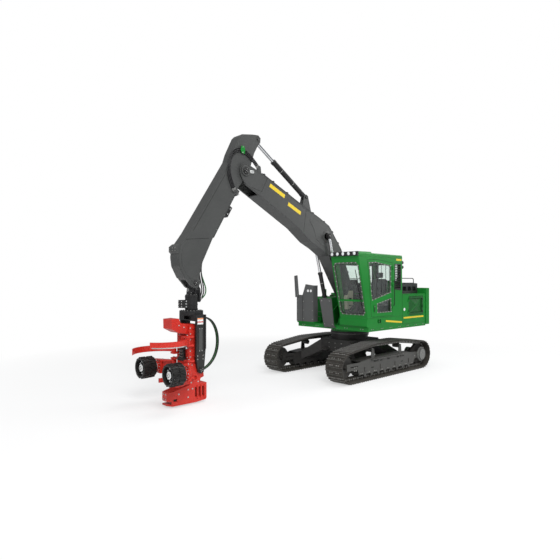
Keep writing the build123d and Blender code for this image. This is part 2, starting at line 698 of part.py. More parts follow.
def make_bodywork():
    left_y, right_y = (HOUSING_INNER, DECK_HALF), (-DECK_HALF, -HOUSING_INNER)
    housing = shell_box((DECK_REAR + 10, LEFT_FRONT), left_y, (DECK_TOP, SIDE_TOP), PANEL)
    (x0, x1), (z0, z1) = LEFT_DOOR
    housing = housing - block((x0, x1), (DECK_HALF - PANEL - 1, DECK_HALF + 1), (z0, z1))
    keep("left_housing", housing, door_hinge(DECK_HALF, LEFT_DOOR, -1)[0])
    keep("left_door", make_service_door(DECK_HALF, LEFT_DOOR, -1))
    keep("cooler", block(COOLER_X, (HOUSING_INNER + 350, HOUSING_INNER + 550), (DECK_TOP, SIDE_TOP - 80)))
    housing = shell_box((DECK_REAR + 10, RIGHT_FRONT), right_y, (DECK_TOP, SIDE_TOP), PANEL)
    (x0, x1), (z0, z1) = RIGHT_DOOR
    housing = housing - block((x0, x1), (-DECK_HALF - 1, PANEL + 1 - DECK_HALF), (z0, z1))
    keep("right_housing", housing, door_hinge(-DECK_HALF, RIGHT_DOOR, 1)[0])
    keep("right_door", make_service_door(-DECK_HALF, RIGHT_DOOR, 1))
    tank = [
        (RIGHT_FRONT, DECK_TOP), (TANK_FRONT, DECK_TOP), (TANK_FRONT, TANK_TOP - 60), (TANK_FRONT - 60, TANK_TOP),
        (RIGHT_FRONT, TANK_TOP),
    ]
    filler = post((-150, -900), TANK_TOP - 1, TANK_TOP + 45, 70)
    keep("fuel_tank", side(tank, -DECK_HALF, TANK_INNER), filler)
    keep("hood", make_hood())
    keep("engine_block", block(ENGINE_X, (-480, 480), (CHEEK_TOP, SIDE_TOP - 100)))
    keep("counterweight", make_counterweight())


def make_front():
    """Step box with its hoop, folded guards before it, and the leaning guard before the boom foot."""
    half = DECK_HALF
    step_box = block((TANK_FRONT, BOX_FRONT), (-half, BOX_INNER), (DECK_TOP, BOX_TOP))
    for index, depth in enumerate((260, 130)):
        low = BOX_TOP - 1 + index * 150
        step_box = step_box + block((TANK_FRONT, TANK_FRONT + depth), (-half, BOX_INNER), (low, low + 151))
    hoop_y = BOX_INNER - 60
    for x in (TANK_FRONT + 30, TANK_FRONT + 30 - HOOP):
        step_box = step_box + bar((x, hoop_y, TANK_TOP + 45), (x, hoop_y, HOOP_TOP), HOOP_R)
    foot = block((TANK_FRONT, TANK_FRONT + 70), (hoop_y - 40, hoop_y + 40), (BOX_TOP, TANK_TOP + 60))
    top = bar((TANK_FRONT + 30 - HOOP, hoop_y, HOOP_TOP), (TANK_FRONT + 30, hoop_y, HOOP_TOP), HOOP_R)
    foot = foot + block((TANK_FRONT - HOOP, TANK_FRONT + 70), (hoop_y - 40, hoop_y + 40), (TANK_TOP + 1, TANK_TOP + 61))
    keep("front_box", step_box, foot, top)
    near, far = BOX_FRONT, BOX_FRONT + GUARD_PLATE
    fold = GUARD_FOLD_Y
    inner = [(BOX_INNER, BOX_TOP), (BOX_INNER, 2780), (-1040, 2820), (fold, 2460), (fold, BOX_TOP)]
    outer = [(fold, BOX_TOP), (fold, 2460), (-half + 90, 2460), (-half, 2400), (-half, BOX_TOP)]
    horn = [(-half + 95, 2380), (-half - 20, 2380), (-half - 75, 3100), (-half + 15, 3120)]
    plates = front(inner, near, far) + front(outer, near, far) + front(horn, near, far + 50)
    plates = plates + block((near - GUARD_RETURN, near + 1), (BOX_INNER - GUARD_PLATE, BOX_INNER), (BOX_TOP, 2780))
    plates = plates + block((near - GUARD_RETURN, near + 1), (fold - 12, fold + 12), (BOX_TOP, 2440))
    plates = plates + block((near, near + 60), (fold - 25, fold + 5), (BOX_TOP, 2450))
    outline = [
        (DECK_FRONT, 1445), (1040, 1445), (1068, 1505), (1236, SHIELD_TOP), (1210, SHIELD_TOP), (1042, 1515),
        (1015, 1475), (DECK_FRONT, 1475),
    ]
    taper = [
        (-SHIELD_FOOT, 1440), (SHIELD_FOOT, 1440), (SHIELD_HALF, SHIELD_TOP + 1), (-SHIELD_HALF, SHIELD_TOP + 1),
    ]
    shield = side(outline, -SHIELD_HALF, SHIELD_HALF) & front(taper, DECK_FRONT - 1, 1300)
    keep_apart("guards", [plates, shield])


# ---------------------------------------------------------------- cab
def cab_front(z):
    """X of the cab's outer front face at a height."""
    return CAB_FRONT_LOW + (CAB_FRONT_HIGH - CAB_FRONT_LOW) * (z - CAB_BASE) / (CAB_ROOF - CAB_BASE)


def cab_outline(inset):
    low, top = CAB_BASE + inset, CAB_ROOF - inset
    return [
        (CAB_REAR + inset, low), (cab_front(low) - inset, low), (cab_front(top) - inset, top),
        (CAB_REAR + inset, top),
    ]


# openings in the cab's walls; side ones (x, z), front and rear ones (y, z)
DOOR_HOLE = [(-318, 1830), (800, 1830), (1015, 3545), (570, 3590), (-318, 3500)]
DOOR_UPPER = [(-235, 2560), (770, 2330), (830, 2620), (945, 3480), (600, 3505), (-235, 3415)]
DOOR_LOWER = [(-260, 1950), (500, 1950), (520, 2240), (-235, 2390)]
LEFT_REAR_HOLE = [(-800, 2620), (-440, 2660), (-440, 3470), (-800, 3470)]
RIGHT_HOLE = [(-700, 2400), (850, 2250), (1080, 3450), (-700, 3450)]
FRONT_HOLE = [(520, 1890), (1320, 1890), (1390, 1980), (1390, 3380), (1310, 3480), (530, 3480), (450, 3380), (450, 1980)]
REAR_HOLE = [(520, 2920), (1320, 2920), (1320, 3480), (520, 3480)]
ROOF_HOLE = ((850.0, 1250.0), (560.0, 1290.0))       # x range, y range


def split_walls(shell):
    """Cab shell cut into its six welded panels, a seam apart, each as thick as the wall."""
    wall, far = CAB_WALL, 5000.0
    xs, ys, zs = (CAB_REAR - 100, CAB_FRONT_HIGH + 100), (CAB_INNER - 100, CAB_OUTER + 100), (CAB_BASE - 10, far)
    shell = shell - block(xs, (CAB_OUTER - wall, CAB_OUTER - wall + SEAM), zs)
    shell = shell - block(xs, (CAB_INNER + wall - SEAM, CAB_INNER + wall), zs)
    room = (CAB_INNER + wall - SEAM, CAB_OUTER - wall + SEAM)
    shell = shell - block(xs, room, (CAB_ROOF - wall, CAB_ROOF - wall + SEAM))
    return shell - block(xs, room, (CAB_BASE + wall - SEAM, CAB_BASE + wall))


def make_cab_panels():
    wall = CAB_WALL
    shell = side(cab_outline(0), CAB_INNER, CAB_OUTER) - side(cab_outline(wall), CAB_INNER + wall, CAB_OUTER - wall)
    for hole in (
        front(FRONT_HOLE, CAB_FRONT_LOW - wall, CAB_FRONT_HIGH + wall),
        front(REAR_HOLE, CAB_REAR - 1, CAB_REAR + wall + 1),
        side(RIGHT_HOLE, CAB_INNER - 1, CAB_INNER + wall + 1),
        block(*ROOF_HOLE, (CAB_ROOF - wall - 1, CAB_ROOF + 1)),
        side(DOOR_HOLE, CAB_OUTER - wall - 1, CAB_OUTER + 1),
        side(LEFT_REAR_HOLE, CAB_OUTER - wall - 1, CAB_OUTER + 1),
    ):
        shell = shell - hole
    return split_walls(shell)


def make_cab_glass():
    wall, mid = CAB_WALL, CAB_WALL / 2
    slab = [
        (cab_front(CAB_BASE) - mid - GLASS, CAB_BASE), (cab_front(CAB_BASE) - mid, CAB_BASE),
        (cab_front(CAB_ROOF) - mid, CAB_ROOF), (cab_front(CAB_ROOF) - mid - GLASS, CAB_ROOF),
    ]
    front_cut = front(FRONT_HOLE, CAB_FRONT_LOW - wall, CAB_FRONT_HIGH + wall)
    rear_cut = front(REAR_HOLE, CAB_REAR - 1, CAB_REAR + wall + 1)
    whole = (CAB_INNER, CAB_OUTER)
    return [
        side(slab, *whole) & front_cut,
        block((CAB_REAR + mid, CAB_REAR + mid + GLASS), whole, (CAB_BASE, CAB_ROOF)) & rear_cut,
        side(RIGHT_HOLE, CAB_INNER + mid, CAB_INNER + mid + GLASS),
        block(*ROOF_HOLE, (CAB_ROOF - mid, CAB_ROOF - mid + GLASS)),
    ]


def make_louvre():
    """Framed louvre behind the door: slats that lean down and out."""
    low_y, high_y = CAB_OUTER - CAB_WALL / 2 - 10, CAB_OUTER + LOUVRE_PROUD
    x0, x1 = LEFT_REAR_HOLE[0][0], LEFT_REAR_HOLE[2][0]
    z0, z1 = LEFT_REAR_HOLE[1][1], LEFT_REAR_HOLE[2][1]
    inner = [(x0 + 30, z0 + 20), (x1 - 30, z0 + 20), (x1 - 30, z1 - 30), (x0 + 30, z1 - 30)]
    shape = side(LEFT_REAR_HOLE, low_y, high_y) - side(inner, low_y - 1, high_y + 1)
    pitch = (z1 - z0 - 50) / SLATS
    for index in range(SLATS):
        z = z0 + 20 + (index + 0.5) * pitch
        slat = [(low_y + 4, z + 12), (low_y + 4, z + 2), (high_y - 4, z - 22), (high_y - 4, z - 12)]
        shape = shape + front(slat, x0 + 29, x1 - 29)
    return shape


def make_roof():
    top = CAB_ROOF + ROOF_THICK
    cap = [
        (CAB_REAR, CAB_ROOF), (CAB_FRONT_HIGH + 20, CAB_ROOF), (CAB_FRONT_HIGH + 20, top + 20),
        (800, top + 30), (780, top - 10), (CAB_REAR + 30, top - 20),
    ]
    crown = [
        (CAB_INNER - 8, CAB_ROOF - 1), (CAB_OUTER + 8, CAB_ROOF - 1), (CAB_OUTER + 8, top - 40),
        (CAB_OUTER - 35, top + 40), (CAB_INNER + 35, top + 40), (CAB_INNER - 8, top - 40),
    ]
    roof = side(cap, CAB_INNER - 8, CAB_OUTER + 8) & front(crown, CAB_REAR - 1, CAB_FRONT_HIGH + 30)
    return roof - block(*ROOF_HOLE, (CAB_ROOF - 1, top + 60))


def make_visor_and_lamps():
    """Black visor over the front glass with five work lamps, and two lamps behind the roof."""
    top = CAB_ROOF + ROOF_THICK
    lean = [
        (CAB_FRONT_HIGH + 20, CAB_ROOF), (CAB_FRONT_HIGH + 80, CAB_ROOF + 10),
        (CAB_FRONT_HIGH + 60, top + 20), (CAB_FRONT_HIGH + 20, top + 20),
    ]
    visor = side(lean, CAB_INNER - 8, CAB_OUTER + 8)
    lamps = []
    middle_z = (CAB_ROOF + top + 30) / 2
    pitch = (CAB_OUTER - CAB_INNER) / LAMP_COUNT
    for index in range(LAMP_COUNT):
        y = CAB_INNER + (index + 0.5) * pitch
        face_x = CAB_FRONT_HIGH + 71
        visor = visor - bar((face_x - 25, y, middle_z), (face_x + 30, y, middle_z), LAMP_R + SEAT)
        lamps.append(bar((face_x - 25 + SEAT, y, middle_z), (face_x + 8, y, middle_z), LAMP_R))
    for z in REAR_LAMP_Z:
        lamp = bar((CAB_REAR - 95, REAR_LAMP_Y, z), (CAB_REAR - 175, REAR_LAMP_Y, z), REAR_LAMP_R)
        arm = bar((CAB_REAR - SEAT, REAR_LAMP_Y, z), (CAB_REAR - 96, REAR_LAMP_Y, z), 18)
        lamps.append(lamp + arm)
    keep("visor", visor)
    keep_apart("lamps", lamps)


def make_cab_door():
    wall, gap, mid = CAB_WALL, DOOR_GAP, CAB_WALL / 2
    frame = [
        (DOOR_HOLE[0][0] + gap, DOOR_HOLE[0][1] + gap), (DOOR_HOLE[1][0] - gap, DOOR_HOLE[1][1] + gap),
        (DOOR_HOLE[2][0] - gap - 2, DOOR_HOLE[2][1] - gap), (DOOR_HOLE[3][0], DOOR_HOLE[3][1] - gap - 1),
        (DOOR_HOLE[4][0] + gap, DOOR_HOLE[4][1] - gap),
    ]
    door = side(frame, CAB_OUTER - wall, CAB_OUTER)
    for hole in (DOOR_UPPER, DOOR_LOWER):
        door = door - side(hole, CAB_OUTER - wall - 1, CAB_OUTER + 1)
    latch = block(LATCH_X, (CAB_OUTER - 1, CAB_OUTER + 22), LATCH_Z)
    door_spot = (DOOR_HOLE[0][0], CAB_OUTER + HINGE_OUT)
    fixed, moving = hinge(door_spot, DOOR_HINGES, 1, CAB_OUTER)
    keep("cab_door", door, latch, moving)
    panes = [side(hole, CAB_OUTER - mid - GLASS, CAB_OUTER - mid) for hole in (DOOR_UPPER, DOOR_LOWER)]
    keep_apart("door_glass", panes)
    return fixed


def make_seat():
    floor, middle = CAB_BASE + CAB_WALL, (CAB_INNER + CAB_OUTER) / 2
    back = [(-330, floor + 380), (-210, floor + 380), (-330, floor + 1130), (-430, floor + 1100)]
    seat = block((-250, 250), (middle - 250, middle + 250), (floor + 330, floor + 450))
    seat = seat + side(back, middle - 240, middle + 240)
    for y in (middle - 310, middle + 240):
        seat = seat + block((-240, 130), (y, y + 70), (floor + 560, floor + 620))
        seat = seat + block((-240, -170), (y, y + 70), (floor + 400, floor + 561))
    return seat + block((-200, 200), (middle - 200, middle + 200), (floor, floor + 331))


def make_consoles():
    """Side consoles, the box beside the front glass, and the two-bar rail across the foot space."""
    floor, middle = CAB_BASE + CAB_WALL, (CAB_INNER + CAB_OUTER) / 2
    console = []
    for y in (middle - 425, middle + 315):
        console.append(block((-200, 330), (y, y + 100), (floor, floor + 640)))
    panel = [(620, floor), (800, floor), (870, floor + 700), (800, floor + 880), (640, floor + 700)]
    console.append(side(panel, CAB_INNER + CAB_WALL + 10, CAB_INNER + CAB_WALL + 130))
    for shift in (0, 75):
        low, high = (640 + shift, middle - 260, floor + 40), (640 + shift, middle + 230, floor + 720)
        feet = post((640 + shift, middle + 230), floor, floor + 720, 17)
        feet = feet + post((640 + shift, middle - 260), floor, floor + 40, 17)
        console.append(bar(low, high, 17) + feet)
    return console


def make_cab():
    fixed = make_cab_door()
    panels = make_cab_panels() + fixed
    keep_apart("cab_shell", [panels])
    plinth = shell_box((CAB_REAR, CAB_FRONT_LOW), (CAB_INNER, CAB_OUTER), (DECK_TOP, CAB_BASE), PANEL)
    for x in STEP_SLOTS:
        plinth = plinth - block((x, x + 70), (CAB_OUTER - PANEL - 1, CAB_OUTER + 1), STEP_SLOT_Z)
    nose = [
        (CAB_FRONT_LOW - 1, DECK_TOP), (BOX_FRONT + 15, DECK_TOP + 40), (BOX_FRONT + 15, CAB_BASE - 60),
        (CAB_FRONT_LOW - 1, CAB_BASE),
    ]
    keep("cab_base", plinth, side(nose, CAB_INNER, CAB_OUTER))
    keep_apart("cab_glass", make_cab_glass())
    keep("cab_louvre", make_louvre())
    keep("cab_roof", make_roof())
    make_visor_and_lamps()
    keep("seat", make_seat())
    keep_apart("consoles", make_consoles())


# ---------------------------------------------------------------- cylinders
def ear_pair(spot, base, half_eye, gap, ear):
    """Two ears beside an eye in the middle plane, with the pin's ends fixed in them."""
    inner = half_eye + gap
    outline = base
    plates = side(outline, inner, inner + ear) + side(outline, -inner - ear, -inner)
    return plates + cross_bar(spot, inner, inner + ear + 12, CROWD_PIN_R) + cross_bar(
        spot, -inner - ear - 12, -inner, CROWD_PIN_R)


def neck(start, end, near, far, half_height, y):
    """Flat bar between an eye and the round part of its cylinder, no thicker than the eye."""
    (x0, z0), (x1, z1) = along(start, end, near), along(start, end, far)
    run = hypot(x1 - x0, z1 - z0)
    ux, uz = (z1 - z0) / run * half_height, (x0 - x1) / run * half_height
    outline = [(x0 + ux, z0 + uz), (x1 + ux, z1 + uz), (x1 - ux, z1 - uz), (x0 - ux, z0 - uz)]
    return side(outline, y - EYE_HALF, y + EYE_HALF)


def barrel(base, eye, length, radius, bore, eye_r, y):
    """Cylinder barrel from its base eye towards the rod's eye."""
    gland, foot = along(base, eye, length), along(base, eye, EYE_REACH)
    depth = along(base, eye, EYE_REACH + 60)
    tube = bar((foot[0], y, foot[1]), (gland[0], y, gland[1]), radius)
    tube = tube + neck(base, eye, 0, EYE_REACH + 5, eye_r * 0.8, y)
    tube = tube + cross_bar(base, y - EYE_HALF, y + EYE_HALF, eye_r)
    return tube - bar((depth[0], y, depth[1]), (gland[0], y, gland[1]), bore + FIT)


def rod(base, eye, length, radius, eye_r, y):
    """Piston rod with its eye and the part of the pin that rides in it."""
    tail = along(eye, base, length)
    near = along(eye, base, eye_r * 0.6)
    shaft = bar((tail[0], y, tail[1]), (near[0], y, near[1]), radius)
    return shaft + cross_bar(eye, y - EYE_HALF, y + EYE_HALF, eye_r)


def beside(route, gap):
    """The same x and z route moved sideways, each run parallel to its old place."""
    def normal(first, second):
        run = hypot(second[0] - first[0], second[1] - first[1])
        return (first[1] - second[1]) / run, (second[0] - first[0]) / run
    last = len(route) - 1
    moved = []
    for index, (x, z) in enumerate(route):
        before = normal(route[max(index - 1, 0)], route[max(index, 1)])
        after = normal(route[min(index, last - 1)], route[min(index + 1, last)])
        share = gap / (1 + before[0] * after[0] + before[1] * after[1])
        moved.append((x + share * (before[0] + after[0]), z + share * (before[1] + after[1])))
    return moved


def hose(route, y, radius):
    """Round hose at one y: straight runs joined by tangent arcs, each as large as its runs allow."""
    points = [Vector(x, y, z) for x, z in route]
    bends = []
    for before, corner, after in zip(points, points[1:], points[2:]):
        back, ahead = before - corner, after - corner
        half_turn = (pi - back.get_angle(ahead) * pi / 180) / 2
        bends.append(HOSE_BEND * min(back.length, ahead.length) / tan(half_turn))
    path = FilletPolyline(*points, radius=bends)
    start = points[1] - points[0]
    section = Plane(points[0], z_dir=start) * Circle(radius)
    solid = sweep(section, path=path)
    ratio = solid.volume / (pi * radius ** 2 * path.length)
    print("hose y", y, "least bend", round(min(bends)), "length", round(path.length), "ratio", round(ratio, 4))
    return solid


def ferrule(end, beyond, y, radius):
    """End fitting of a hose, from the hose's end away from its next point."""
    run = hypot(end[0] - beyond[0], end[1] - beyond[1])
    x = end[0] + (end[0] - beyond[0]) / run * FERRULE
    z = end[1] + (end[1] - beyond[1]) / run * FERRULE
    return bar((end[0], y, end[1]), (x, y, z), radius)


# ---------------------------------------------------------------- boom
BOOM_OUTLINE = [
    (205, 2080), (820, 2960), (1330, 3700), (1750, 3930), (2150, 4100), (2720, 4490), (4500, 5375),
    (4640, 5440), (4760, 5560), (4840, 5700), (4850, 5840), (4800, 5960), (4700, 6010), (4560, 5990),
    (3920, 5760), (2300, 5045), (1750, 4830), (1280, 4610), (710, 3940), (-95, 2200), (-100, 2110),
    (-50, 2010), (60, 1970), (150, 2000),
]
BOOM_ROOM = [
    (60, 1900), (800, 2985), (1318, 3715), (1740, 3950), (2140, 4120), (2710, 4510), (5000, 5650),
    (5000, 6170), (4560, 5970), (3925, 5742), (2308, 5027), (1758, 4811), (1288, 4592), (726, 3930),
    (-160, 2000),
]
FORK_ROOM_X = 4200.0
HOSE_SEAT = [(4110, 5820), (4240, 5865), (4257, 5928), (4165, 6025), (4132, 5993)]
PIPE_ROUTE = [(25, 2460), (710, 3940), (1280, 4610), (1750, 4830), (2300, 5045), (3920, 5760), (4060, 5811)]
BOOM_HOSE = [
    (4185, 6010), (4290, 6110), (4450, 6240), (4700, 6390), (4960, 6360), (5140, 6190), (5225, 5950),
    (5235, 5700), (5170, 5460), (5050, 5240),
]


def make_boom():
    shell = side(BOOM_OUTLINE, -BOOM_HALF, BOOM_HALF)
    inside = BOOM_HALF - BOOM_WALL
    shell = shell - side(BOOM_ROOM, -inside, inside)
    fork = block((FORK_ROOM_X, 5200), (-ARM_HALF - SIDE_GAP, ARM_HALF + SIDE_GAP), (5000, 6300))
    shell = shell - fork
    for spot, radius, low, high in (
        (BOOM_FOOT, 150, SIDE_GAP - CHEEK_INNER, CHEEK_INNER - SIDE_GAP),
        (BOOM_HEAD, 130, ARM_HALF + SIDE_GAP, BOOM_HALF + 25),
        (BOOM_HEAD, 130, -BOOM_HALF - 25, -ARM_HALF - SIDE_GAP),
        (LIFT_EYE, 110, -BOOM_HALF - 12, BOOM_HALF + 12),
    ):
        shell = shell + cross_bar(spot, low, high, radius)
    shell = shell - cross_bar(BOOM_FOOT, -CHEEK_INNER, CHEEK_INNER, BOOM_PIN_R + PIN_FIT)
    base = [
        (CROWD_BASE[0] - 230, 4960), (CROWD_BASE[0] + 200, 5050), (CROWD_BASE[0] + 75, CROWD_BASE[1] + 40),
        (CROWD_BASE[0], CROWD_BASE[1] + 85), (CROWD_BASE[0] - 75, CROWD_BASE[1] + 40),
    ]
    shell = shell + ear_pair(CROWD_BASE, base, EYE_HALF, EYE_GAP, EAR)
    shell = shell + cross_bar(BOOM_HEAD, -BOOM_HALF - 40, BOOM_HALF + 40, BOOM_PIN_R)
    stub = cross_bar(LIFT_EYE, BOOM_HALF, LIFT_Y - EYE_HALF - EYE_GAP, LIFT_PIN_R)
    return shell + stub + mirrored(stub)


def make_pipes():
    """Hydraulic pipes along the boom's back, held by a row of clamps."""
    solids = []
    route = beside(PIPE_ROUTE, PIPE_LIFT)
    for turn in (1, -1):
        pair = None
        for y in PIPE_Y:
            spots = [Vector(x, turn * y, z) for x, z in route]
            section = Plane(spots[0], z_dir=spots[1] - spots[0]) * RegularPolygon(PIPE_R, PIPE_SIDES)
            run = sweep(section, path=Polyline(*spots), transition=Transition.RIGHT)
            pair = run if pair is None else pair + run
        low, high = sorted((turn * (PIPE_Y[0] - 30), turn * (PIPE_Y[1] + 30)))
        for first, second in zip(PIPE_ROUTE, PIPE_ROUTE[1:]):
            span = hypot(second[0] - first[0], second[1] - first[1])
            count = max(1, round(span / CLAMP_STEP))
            for index in range(count):
                at = span * (index + 0.5) / count
                foot = [along(first, second, at - 28), along(first, second, at + 28)]
                pair = pair + side(foot + beside(foot, PIPE_LIFT + PIPE_R + 8)[::-1], low, high)
        solids.append(pair)
    return solids


def make_boom_hoses():
    """Hoses from the boom's back over the arm's left face to the arm's back edge."""
    routes = [beside(BOOM_HOSE, -HOSE_GAP * index) for index in range(3)]
    return [hose(route, HOSE_Y, HOSE_R) for route in routes]


def boom_ferrules(at_boom):
    """Fittings at the boom's end or at the arm's end of those hoses."""
    shape = None
    for index in range(3):
        route = beside(BOOM_HOSE, -HOSE_GAP * index)
        end, beyond = (route[0], route[1]) if at_boom else (route[-1], route[-2])
        fitting = ferrule(end, beyond, HOSE_Y, FERRULE_R)
        shape = fitting if shape is None else shape + fitting
    return shape


def make_boom_group():
    fitted = make_boom() + boom_ferrules(True) + side(HOSE_SEAT, ARM_HALF + SIDE_GAP + 2, HOSE_Y + 24)
    keep("boom", fitted)
    keep_apart("boom_pipes", make_pipes())
    keep_apart("boom_hoses", make_boom_hoses())
    left = barrel(LIFT_BASE, LIFT_EYE, LIFT_BARREL, LIFT_BARREL_R, LIFT_ROD_R, 82, LIFT_Y)
    left = left - cross_bar(LIFT_BASE, LIFT_Y - 60, LIFT_Y + 60, LIFT_PIN_R + PIN_FIT)
    keep_apart("lift_barrels", [left, mirrored(left)])
    left = rod(LIFT_BASE, LIFT_EYE, LIFT_ROD, LIFT_ROD_R, 85, LIFT_Y)
    keep_apart("lift_rods", [left, mirrored(left)])
    middle = barrel(CROWD_BASE, ARM_EYE, CROWD_BARREL, CROWD_BARREL_R, CROWD_ROD_R, 80, 0)
    keep("crowd_barrel", middle)
    keep("crowd_rod", rod(CROWD_BASE, ARM_EYE, CROWD_ROD, CROWD_ROD_R, 80, 0))


# ---------------------------------------------------------------- arm
ARM_OUTLINE = [
    (4110, 6660), (4200, 6560), (4330, 6330), (4440, 6000), (4470, 5760), (4560, 5610), (4700, 5560),
    (4850, 5370), (5660, 4000), (5980, 3360), (6060, 3050), (6060, 2850), (6110, 2760), (6240, 2750),
    (6330, 2840), (6480, 3000), (6620, 3260), (6650, 3480), (6600, 3740), (6360, 4060), (5130, 5990),
    (5050, 6220), (4820, 6680), (4740, 6760), (4380, 6830), (4180, 6850), (4100, 6790),
]
ARM_ROOM = [
    (4500, 6560), (4600, 6040), (4880, 5880), (4900, 5420), (5680, 4080), (6010, 3420), (6100, 3120),
    (6120, 2980), (6300, 2950), (6590, 3270), (6625, 3480), (6580, 3730), (6340, 4050), (5105, 5980),
    (5030, 6205), (4790, 6600),
]


BELLY = [
    (6484, 2989), (6490, 2995), (6632, 3258), (6664, 3480), (6652, 3560), (6700, 3600), (6700, 3720), (6612, 3790),
    (6585, 3740), (6640, 3480), (6610, 3262), (6472, 3008),
]
ARM_HOSE = [(5640, 3975), (5750, 3765), (5857, 3545), (5925, 3310), (5925, 3080), (5880, 2880), (5840, 2700), (5870, 2560), (5940, 2460)]
ARM_LOOP = [(5640, 3975), (5750, 3765), (5852, 3545), (5912, 3310), (5895, 3080), (5810, 2880), (5745, 2700), (5790, 2540), (5915, 2462)]
CHANNEL_TOP = (4940.0, 5217.8)
CHANNEL_END = (5640.0, 4033.8)


def make_arm_fittings():
    """Hose channel and its fittings on the arm's back, valve block, clamp and the wear plate."""
    line = [CHANNEL_TOP, CHANNEL_END]
    shape = side(line + beside(line, -CHANNEL)[::-1], -95, 95)
    for y, route in ((-HOSE_GAP, ARM_HOSE), (0, ARM_LOOP), (HOSE_GAP, ARM_HOSE)):
        shape = shape + ferrule(route[0], route[1], y, FERRULE_R)
    valve = [along(CHANNEL_TOP, CHANNEL_END, -90), along(CHANNEL_TOP, CHANNEL_END, 60)]
    shape = shape + side(beside(valve, 12) + beside(valve, -CHANNEL - 12)[::-1], -60, HOSE_Y - 20)
    cover = [(4700, 6240), (4790, 6250), (4830, 6330), (4800, 6440), (4710, 6440), (4680, 6330)]
    clamp = side(cover, HOSE_Y + HOSE_R + 1, HOSE_Y + HOSE_R + 14)
    for low in (6235, 6414):
        clamp = clamp + block((4725, 4785), (ARM_HALF - 1, HOSE_Y + HOSE_R + 2), (low, low + 32))
    shape = shape + boom_ferrules(False) + side(BELLY, -ARM_HALF + 5, ARM_HALF - 5)
    seat = side([(5070, 5224), (5048, 5184), (4930, 5248), (4952, 5289)], ARM_HALF - 1, HOSE_Y + 6)
    return shape + clamp + seat


def make_arm():
    shell = side(ARM_OUTLINE, -ARM_HALF, ARM_HALF)
    inside = ARM_HALF - ARM_WALL
    shell = shell - side(ARM_ROOM, -inside, inside)
    clear = EYE_HALF + EYE_GAP
    slot = [(3900, 6950), (4330, 6950), (4430, 6760), (4430, 6600), (4280, 6400), (3900, 6400)]
    shell = shell - side(slot, -clear, clear)
    shell = shell - cross_bar(BOOM_HEAD, -ARM_HALF, ARM_HALF, BOOM_PIN_R + PIN_FIT)
    nose = cross_bar(ARM_TIP, -ARM_HALF - 15, ARM_HALF + 15, 105)
    shell = shell + nose
    yoke = EYE_HALF + 60
    shell = shell - block((5900, 6420), (-yoke - SIDE_GAP, yoke + SIDE_GAP), (2600, 3090))
    return shell + cross_bar(ARM_TIP, -ARM_HALF - 30, ARM_HALF + 30, TIP_PIN_R) + make_arm_fittings()


def make_arm_group():
    keep("arm", make_arm())
    hoses = [hose(ARM_HOSE, y, HOSE_R) for y in (-HOSE_GAP, HOSE_GAP)]
    keep_apart("arm_hoses", hoses + [hose(ARM_LOOP, 0, HOSE_R)])


# ---------------------------------------------------------------- head
def make_link():
    """Short link: eye on the arm's pin above, crossed pin for the rotator below."""
    x, z = ARM_TIP
    half = EYE_HALF + 60
    waist = CROSS_PIN_Z + 78
    shape = cross_bar(ARM_TIP, -half, half, 80) + block((x - 70, x + 70), (-half, half), (waist, z))
    shape = shape + block((x - 45, x + 45), (-60, 60), (CROSS_PIN_Z - 55, waist + 5))
    shape = shape - cross_bar(ARM_TIP, -half, half, TIP_PIN_R + PIN_FIT)
    carrier = [
        (x - 66, z - 10), (x - 66, z - 85), (6010, 2690), (5995, 2400), (5965, 2400), (5950, 2500), (5962, 2720),
        (6040, 2860),
    ]
    shape = shape + side(carrier, -72, 72)
    for y, route in ((-HOSE_GAP, ARM_HOSE), (0, ARM_LOOP), (HOSE_GAP, ARM_HOSE)):
        shape = shape + ferrule(route[-1], route[-2], y, FERRULE_R)
    return shape - bar((x - 60, 0, CROSS_PIN_Z), (x + 60, 0, CROSS_PIN_Z), CROSS_PIN_R + PIN_FIT)


def make_rotator():
    x = ARM_TIP[0]
    shape = post((x, 0), ROTATOR_BOTTOM, ROTATOR_TOP - 30, ROTATOR_R)
    for low in (-45 - SIDE_GAP - 40, 45 + SIDE_GAP):
        ear = [(-85, ROTATOR_TOP - 40), (85, ROTATOR_TOP - 40), (60, CROSS_PIN_Z + 35), (-60, CROSS_PIN_Z + 35)]
        shape = shape + front(ear, x + low, x + low + 40)
    shape = shape + block((x + 100, x + 310), (-90, 90), (ROTATOR_BOTTOM + 70, ROTATOR_BOTTOM + 260))
    return shape + bar((x - 95, 0, CROSS_PIN_Z), (x + 95, 0, CROSS_PIN_Z), CROSS_PIN_R)


